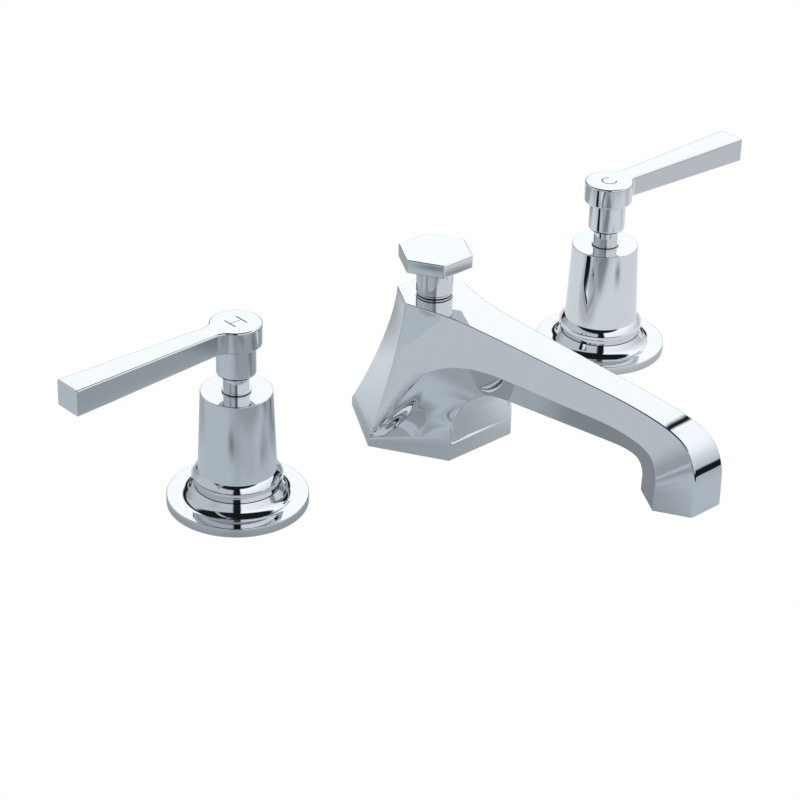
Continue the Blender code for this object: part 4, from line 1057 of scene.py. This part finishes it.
def spout_group():
    nose = SPOUT_PLACE - Vector((0, NOSE_REACH, 0))
    body = spout()
    put(body, SPOUT_PLACE)
    beveled(body, SPOUT_EDGE)
    bores = [rod("bore", *sizes, SPOUT_PLACE) for sizes in SPOUT_BORES]
    cut(body, *bores, rod("chamber", *CHAMBER, nose, SPIN_STEPS), ledge_cutter())
    parts = (
        (smoothed(body), CHROME, "fixed", "spout_body"),
        (smoothed(turned("rod_guide", GUIDE_CORNERS, SPOUT_PLACE)), CHROME, "fixed", "rod_bushing"),
        (knob_head(), CHROME, "lift", "lift_knob"),
        (smoothed(turned("knob_neck", NECK_CORNERS, SPOUT_PLACE)), CHROME, "lift"),
        (smoothed(rod("pull_rod", *PULL_ROD, SPOUT_PLACE)), CHROME, "lift", "lift_rod"),
        (put(ring("foot_gasket", *FOOT_GASKET), SPOUT_PLACE), RUBBER, "fixed", "spout_gasket"),
        (threaded_shank(), BRASS, "fixed", "spout_shank"),
        (put(ring("spout_rubber_ring", *SPOUT_WASHER), SPOUT_PLACE), RUBBER, "fixed", "spout_rubber_washer"),
        (put(ring("spout_metal_ring", *SPOUT_PLATE), SPOUT_PLACE), STEEL, "fixed", "spout_metal_washer"),
        (locknut("spout_nut", *SPOUT_NUT, SPOUT_PLACE), BRASS, "fixed", "spout_locknut"),
        (supply_tube(), STEEL, "fixed", "water_tube"), (tee(), BRASS, "fixed", "tee_fitting"),
        (smoothed(turned("aerator_housing", AERATOR_CORNERS, nose)), CHROME, "fixed", "aerator_shell"),
        (flow_screen(nose), PLASTIC, "fixed", "aerator_screen"),
    )
    for part in parts:
        fitted(*part)


def knob_head():
    """The hexagonal head of the lift knob."""
    head = hexagonal_bar("knob_head", *KNOB_HEAD, SPOUT_PLACE)
    return smoothed(beveled(head, KNOB_EDGE))


def threaded_shank():
    """The shank that holds the spout in the deck."""
    shank = joined("threaded_shank", turned("shank_core", SHANK_CORNERS), thread(*SHANK_THREAD))
    return put(smoothed(shank, THREAD_ANGLE), SPOUT_PLACE)


def supply_tube():
    """The bent steel tube between the spout and the tee."""
    bpy.ops.curve.primitive_bezier_curve_add(location=(0, 0, 0))
    piece = named("supply_tube")
    line = piece.data
    line.dimensions = "3D"
    line.bevel_depth = TUBE_RADIUS
    line.bevel_resolution = 10
    line.resolution_u = 24
    line.use_fill_caps = True
    spline = line.splines[0]
    spline.bezier_points.add(len(TUBE_STOPS) - len(spline.bezier_points))
    for point, (back, height, reach) in zip(spline.bezier_points, TUBE_STOPS):
        across = SPOUT_PLACE.y + back
        point.co = (0, across, height)
        point.handle_left_type = point.handle_right_type = "FREE"
        point.handle_left = (0, across, height + reach)
        point.handle_right = (0, across, height - reach)
    bpy.ops.object.convert(target="MESH")
    begin_edit(piece)
    tidy_mesh()
    end_edit()
    return smoothed(piece)


def tee():
    """The brass tee below the spout, with a threaded arm to each side."""
    centre = Vector((0, SPOUT_PLACE.y + TEE_PLACE, 0))
    upright = turned("tee", TEE_CORNERS, centre)
    run = turned("run", RUN_CORNERS, steps=SMALL_SPIN_STEPS)
    ridges = [thread(*sizes) for sizes in RUN_THREADS]
    for item in (run, *ridges):
        put(item, centre + Vector((0, 0, RUN_HEIGHT)), (0, RIGHT_ANGLE, 0))
    combine(upright, run, "UNION")
    return smoothed(joined("hose_tee", upright, *ridges), THREAD_ANGLE)


def flow_screen(place):
    """The flow straightener: a disc with rings of round holes."""
    disc = rod("flow_screen", *SCREEN, place, SPIN_STEPS)
    holes = []
    for count, radius in SCREEN_RINGS:
        for k in range(count):
            angle = FULL_TURN * k / count
            at = Vector(place) + Vector((radius * math.cos(angle), radius * math.sin(angle), 0))
            holes.append(rod("hole", *SCREEN_HOLE, at, HOLE_STEPS))
    combine(disc, joined("holes", *holes), "DIFFERENCE")
    return smoothed(disc)


# Light, floor and camera

CAMERA_PLACE = (-0.64473, -0.68669, 0.53647)
CAMERA_AZIMUTH = math.radians(-42.47)
CAMERA_ELEVATION = math.radians(29.28)
CAMERA_ROLL = math.radians(1.34)
CAMERA_LENS = 116.8
SENSOR = 36.0
FLOOR_CENTRE = (-0.50, 0.30, 0)
FLOOR_SIZE = (2.2, 1.2, 1)
# Painted contact shade on the floor round each handle and the spout, seen in the metal: centre across, radius
# where it is darkest, radius where it ends, tone left at its darkest.
FLOOR_PAINTED_CONTACT_SHADE = (
    (-HANDLE_PLACE, 0.029, 0.040, 0.66), (HANDLE_PLACE, 0.029, 0.040, 0.66), (0, 0.038, 0.058, 0.70),
)
# Painted dark stripes on the floor fanning out from the hot handle, seen as shade in the metal: angle, width
# and depth.
FLOOR_PAINTED_SHADE_STRIPES = ((-2.27, 0.32, 0.12), (-0.80, 0.25, 0.04))
# Painted shadows on the floor, seen in the metal, among them the shadow under the spout's arm and the hot
# lever's shadow: centre, half size, softness and depth.
FLOOR_SHADES = (
    ((0, -0.095), (0.025, 0.046), 0.014, 0.54), ((-0.130, -0.132), (0.116, 0.036), 0.014, 0.34),
    ((-0.160, -0.160), (0.045, 0.018), 0.012, 0.26), ((-0.165, -0.075), (0.075, 0.022), 0.014, 0.12),
    ((-0.171, -0.050), (0.012, 0.009), 0.012, 0.60), ((-0.065, -0.058), (0.010, 0.008), 0.012, 0.40),
    ((-0.420, -0.220), (0.120, 0.060), 0.040, 0.28), ((0, 0.207), (0.120, 0.078), 0.020, 0.50),
    ((0.101, -0.118), (0.016, 0.012), 0.014, 0.58), ((0.300, -0.120), (0.090, 0.060), 0.020, 0.22),
    ((-0.110, 0.090), (0.045, 0.025), 0.020, 0.22), ((-0.046, -0.055), (0.014, 0.020), 0.012, 0.18),
)


def camera():
    right = Vector((math.cos(CAMERA_AZIMUTH), math.sin(CAMERA_AZIMUTH), 0))
    back = Vector((right.y, -right.x, 0)) * math.cos(CAMERA_ELEVATION)
    back.z = math.sin(CAMERA_ELEVATION)
    up = back.cross(right)
    side = right * math.cos(CAMERA_ROLL) + up * math.sin(CAMERA_ROLL)
    over = up * math.cos(CAMERA_ROLL) - right * math.sin(CAMERA_ROLL)
    turn = Matrix((side, over, back)).transposed().to_euler()
    bpy.ops.object.camera_add(location=CAMERA_PLACE, rotation=turn)
    made = named("photo_camera")
    made.data.lens = CAMERA_LENS
    made.data.sensor_width = SENSOR
    made.data.clip_end = 20
    bpy.context.scene.camera = made


def studio():
    """What the polished metal sees round it.

    A white wall behind the object, a large window at the right and a grey wall from the left round to the
    front, with black between and above them and in the upper corner between wall and window. Angles are taken
    round the upright axis from the side of the camera.
    """
    world = Finish(bpy.data.worlds.new("studio"))
    bpy.context.scene.world = world.owner
    generated = world.node("TexCoord", None, None, "Generated")
    split = world.node("SeparateXYZ", None, {0: generated}).socket.node
    x, y, z = (Wire(world, split.outputs[k]) for k in range(3))
    level = (1.0001 - z * z) ** 0.5
    right = (x * 0.7376 - y * 0.6752) / level
    front = (x * -0.6752 - y * 0.7376) / level
    step, field = world.step, world.field
    wall = field((-front, 0.88, 0.94), (z, 0.20, 0.28), (-z, -0.80, -0.68))
    window = field(
        (right, 0.16, 0.24), (-front, -1.0, -0.98), (front, -0.94, -0.88), (z, -0.05, 0.02),
        (-z, -0.85, -0.79),
    )
    left = field((-right, 0.10, 0.20), (front, -0.82, -0.74), (z, -0.06, -0.03), (-z, -0.80, -0.72))
    low = field((front, 0.0, 0.3), (z, -0.02, 0.03), (-z, -0.52, -0.46))
    corner = field((z, 0.56, 0.62), (right, 0.25, 0.30), (-right, -0.37, -0.32), (-front, 0.5, 0.6))
    dim = (1 - step(-right, 0.70, 0.96)) * (1 - step(z, 0.42, 0.50))
    tone = wall * 1.32 + window * (z * 0.85 + 0.68)
    tone = tone * (1 - corner) + left * (0.70 - dim * 0.25)
    tone = world.node("Math", {"operation": "MAXIMUM"}, {0: tone, 1: low * 0.36}) + 0.015
    cool = world.blend(step(tone, 0.02, 0.30), (0.70, 0.90, 1.0), (0.875, 0.93, 1.0))
    sockets = {0: step(tone, 0.65, 1.1), 6: cool, 7: (0.95, 0.975, 1.0, 1)}
    tint = world.node("Mix", {"data_type": "RGBA"}, sockets, 2)
    above = world.node("Background", None, {"Color": tint, "Strength": tone})
    white = world.node("Background", None, {"Color": (1, 1, 1, 1), "Strength": 1.0})
    seen = world.node("LightPath", None, None, "Is Camera Ray")
    mixed = world.node("MixShader", None, {0: seen, 1: above, 2: white})
    world.node("OutputWorld", None, {"Surface": mixed})


def shade(made, point, spot, half, soft):
    """1 on a soft-edged rectangle of the floor and 0 outside it."""
    edges = []
    for value, middle, reach in zip(point, spot, half):
        edges.append((value, middle - reach - soft, middle - reach + soft))
        edges.append((-value, -middle - reach - soft, -middle - reach + soft))
    return made.field(*edges)


def floor_tone(made, at):
    """The floor's tone and tint in the metal, all painted: painted light towards the window, painted shade
    round the forms.
    """
    split = made.node("SeparateXYZ", None, {0: at}).socket.node
    x, y = (Wire(made, split.outputs[k]) for k in range(2))
    # Painted light: the floor is lighter on the window's side.
    lit = made.step(x + y * 0.35, -0.045, 0.035)
    tone = lit * 0.23 + 0.60
    # Painted contact shade round each handle and the spout.
    for centre, near, clear, least in FLOOR_PAINTED_CONTACT_SHADE:
        across = x - centre
        far = (across * across + y * y) ** 0.5
        tone = tone * (least + made.step(far, near, clear) * (1 - least))
    # Painted shade in stripes fanning out from the hot handle.
    across = x + HANDLE_PLACE
    turn = made.node("Math", {"operation": "ARCTAN2"}, {0: y, 1: across})
    for centre, width, depth in FLOOR_PAINTED_SHADE_STRIPES:
        brushing_and_painted_stripe = made.field((turn, centre - width, centre), (-turn, -centre - width, -centre))
        tone = tone * (1 - brushing_and_painted_stripe * depth)
    # Painted shadows in soft rectangles.
    for spot, half, soft, depth in FLOOR_SHADES:
        tone = tone * (1 - shade(made, (x, y), spot, half, soft) * depth)
    # Painted shade: darker far in front, on the window's side.
    tone = tone * (1 - made.step(-y, 0.14, 0.24) * lit * 0.35)
    return tone + made.noise(at, 9.0) * 0.03, made.blend(lit, (0.90, 1.0, 1.085), (0.95, 1.0, 1.04))


def floor():
    """A pale floor at the deck's level, white where the camera sees it directly; the metal sees it glow with
    painted light and painted shadows.
    """
    bpy.ops.mesh.primitive_plane_add(size=1, location=FLOOR_CENTRE)
    piece = named("floor")
    begin_edit(piece)
    bpy.ops.transform.resize(value=FLOOR_SIZE)
    end_edit()
    applied(piece)
    made, at = finish("pale_floor")
    colour = made.blend(made.noise(at, 9.0), (0.66, 0.72, 0.78), (0.70, 0.76, 0.82))
    plain = made.node("BsdfDiffuse", None, {"Color": colour})
    tone, tint = floor_tone(made, at)
    # What the metal sees of the floor: an emission carrying the painted light and shade.
    painted_reflection = made.node("Emission", None, {"Color": tint, "Strength": tone})
    white = made.node("Emission", None, {"Color": (1, 1, 1, 1), "Strength": 1.0})
    clear = made.node("BsdfTransparent", None, {"Color": (1, 1, 1, 1)})
    path = made.node("LightPath").socket.node
    direct = Wire(made, path.outputs["Is Camera Ray"]) + Wire(made, path.outputs["Is Transmission Ray"])
    top = made.node("MixShader", None, {0: Wire(made, path.outputs["Is Glossy Ray"]), 1: plain, 2: painted_reflection})
    top = made.node("MixShader", None, {0: direct, 1: top, 2: white})
    under = made.node("NewGeometry", None, None, "Backfacing")
    made.node("OutputMaterial", None, {"Surface": made.node("MixShader", None, {0: under, 1: top, 2: clear})})
    piece.data.materials.append(made.owner)


def lamp(name, place, size, watts):
    bpy.ops.object.light_add(type="AREA", location=place)
    made = bpy.context.object
    made.name = name
    made.data.shape = "SQUARE"
    made.data.size = size
    made.data.energy = watts
    made.visible_glossy = False
    made.visible_camera = False
    made.rotation_euler = (-Vector(place)).to_track_quat("-Z", "Y").to_euler()


handle_groups()
spout_group()

INSIDE = {
    "stem_bushing": PLASTIC, "cartridge": BRASS, "seat_seal": RUBBER, "fixed_disc": CERAMIC,
    "moving_disc": CERAMIC, "spindle": BRASS,
}
KEPT = {f"{label}_{ending}": paint for label in ("hot", "cold") for ending, paint in INSIDE.items()}
KEPT["aerator_washer"] = RUBBER
for node, paint in KEPT.items():
    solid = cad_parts[node]
    solid.data.materials.clear()
    solid.data.materials.append(paint)

camera()
studio()
floor()
lamp("overhead", (0.1, -0.1, 1.3), 1.6, 6.0)

bpy.context.scene.view_settings.view_transform = "Standard"
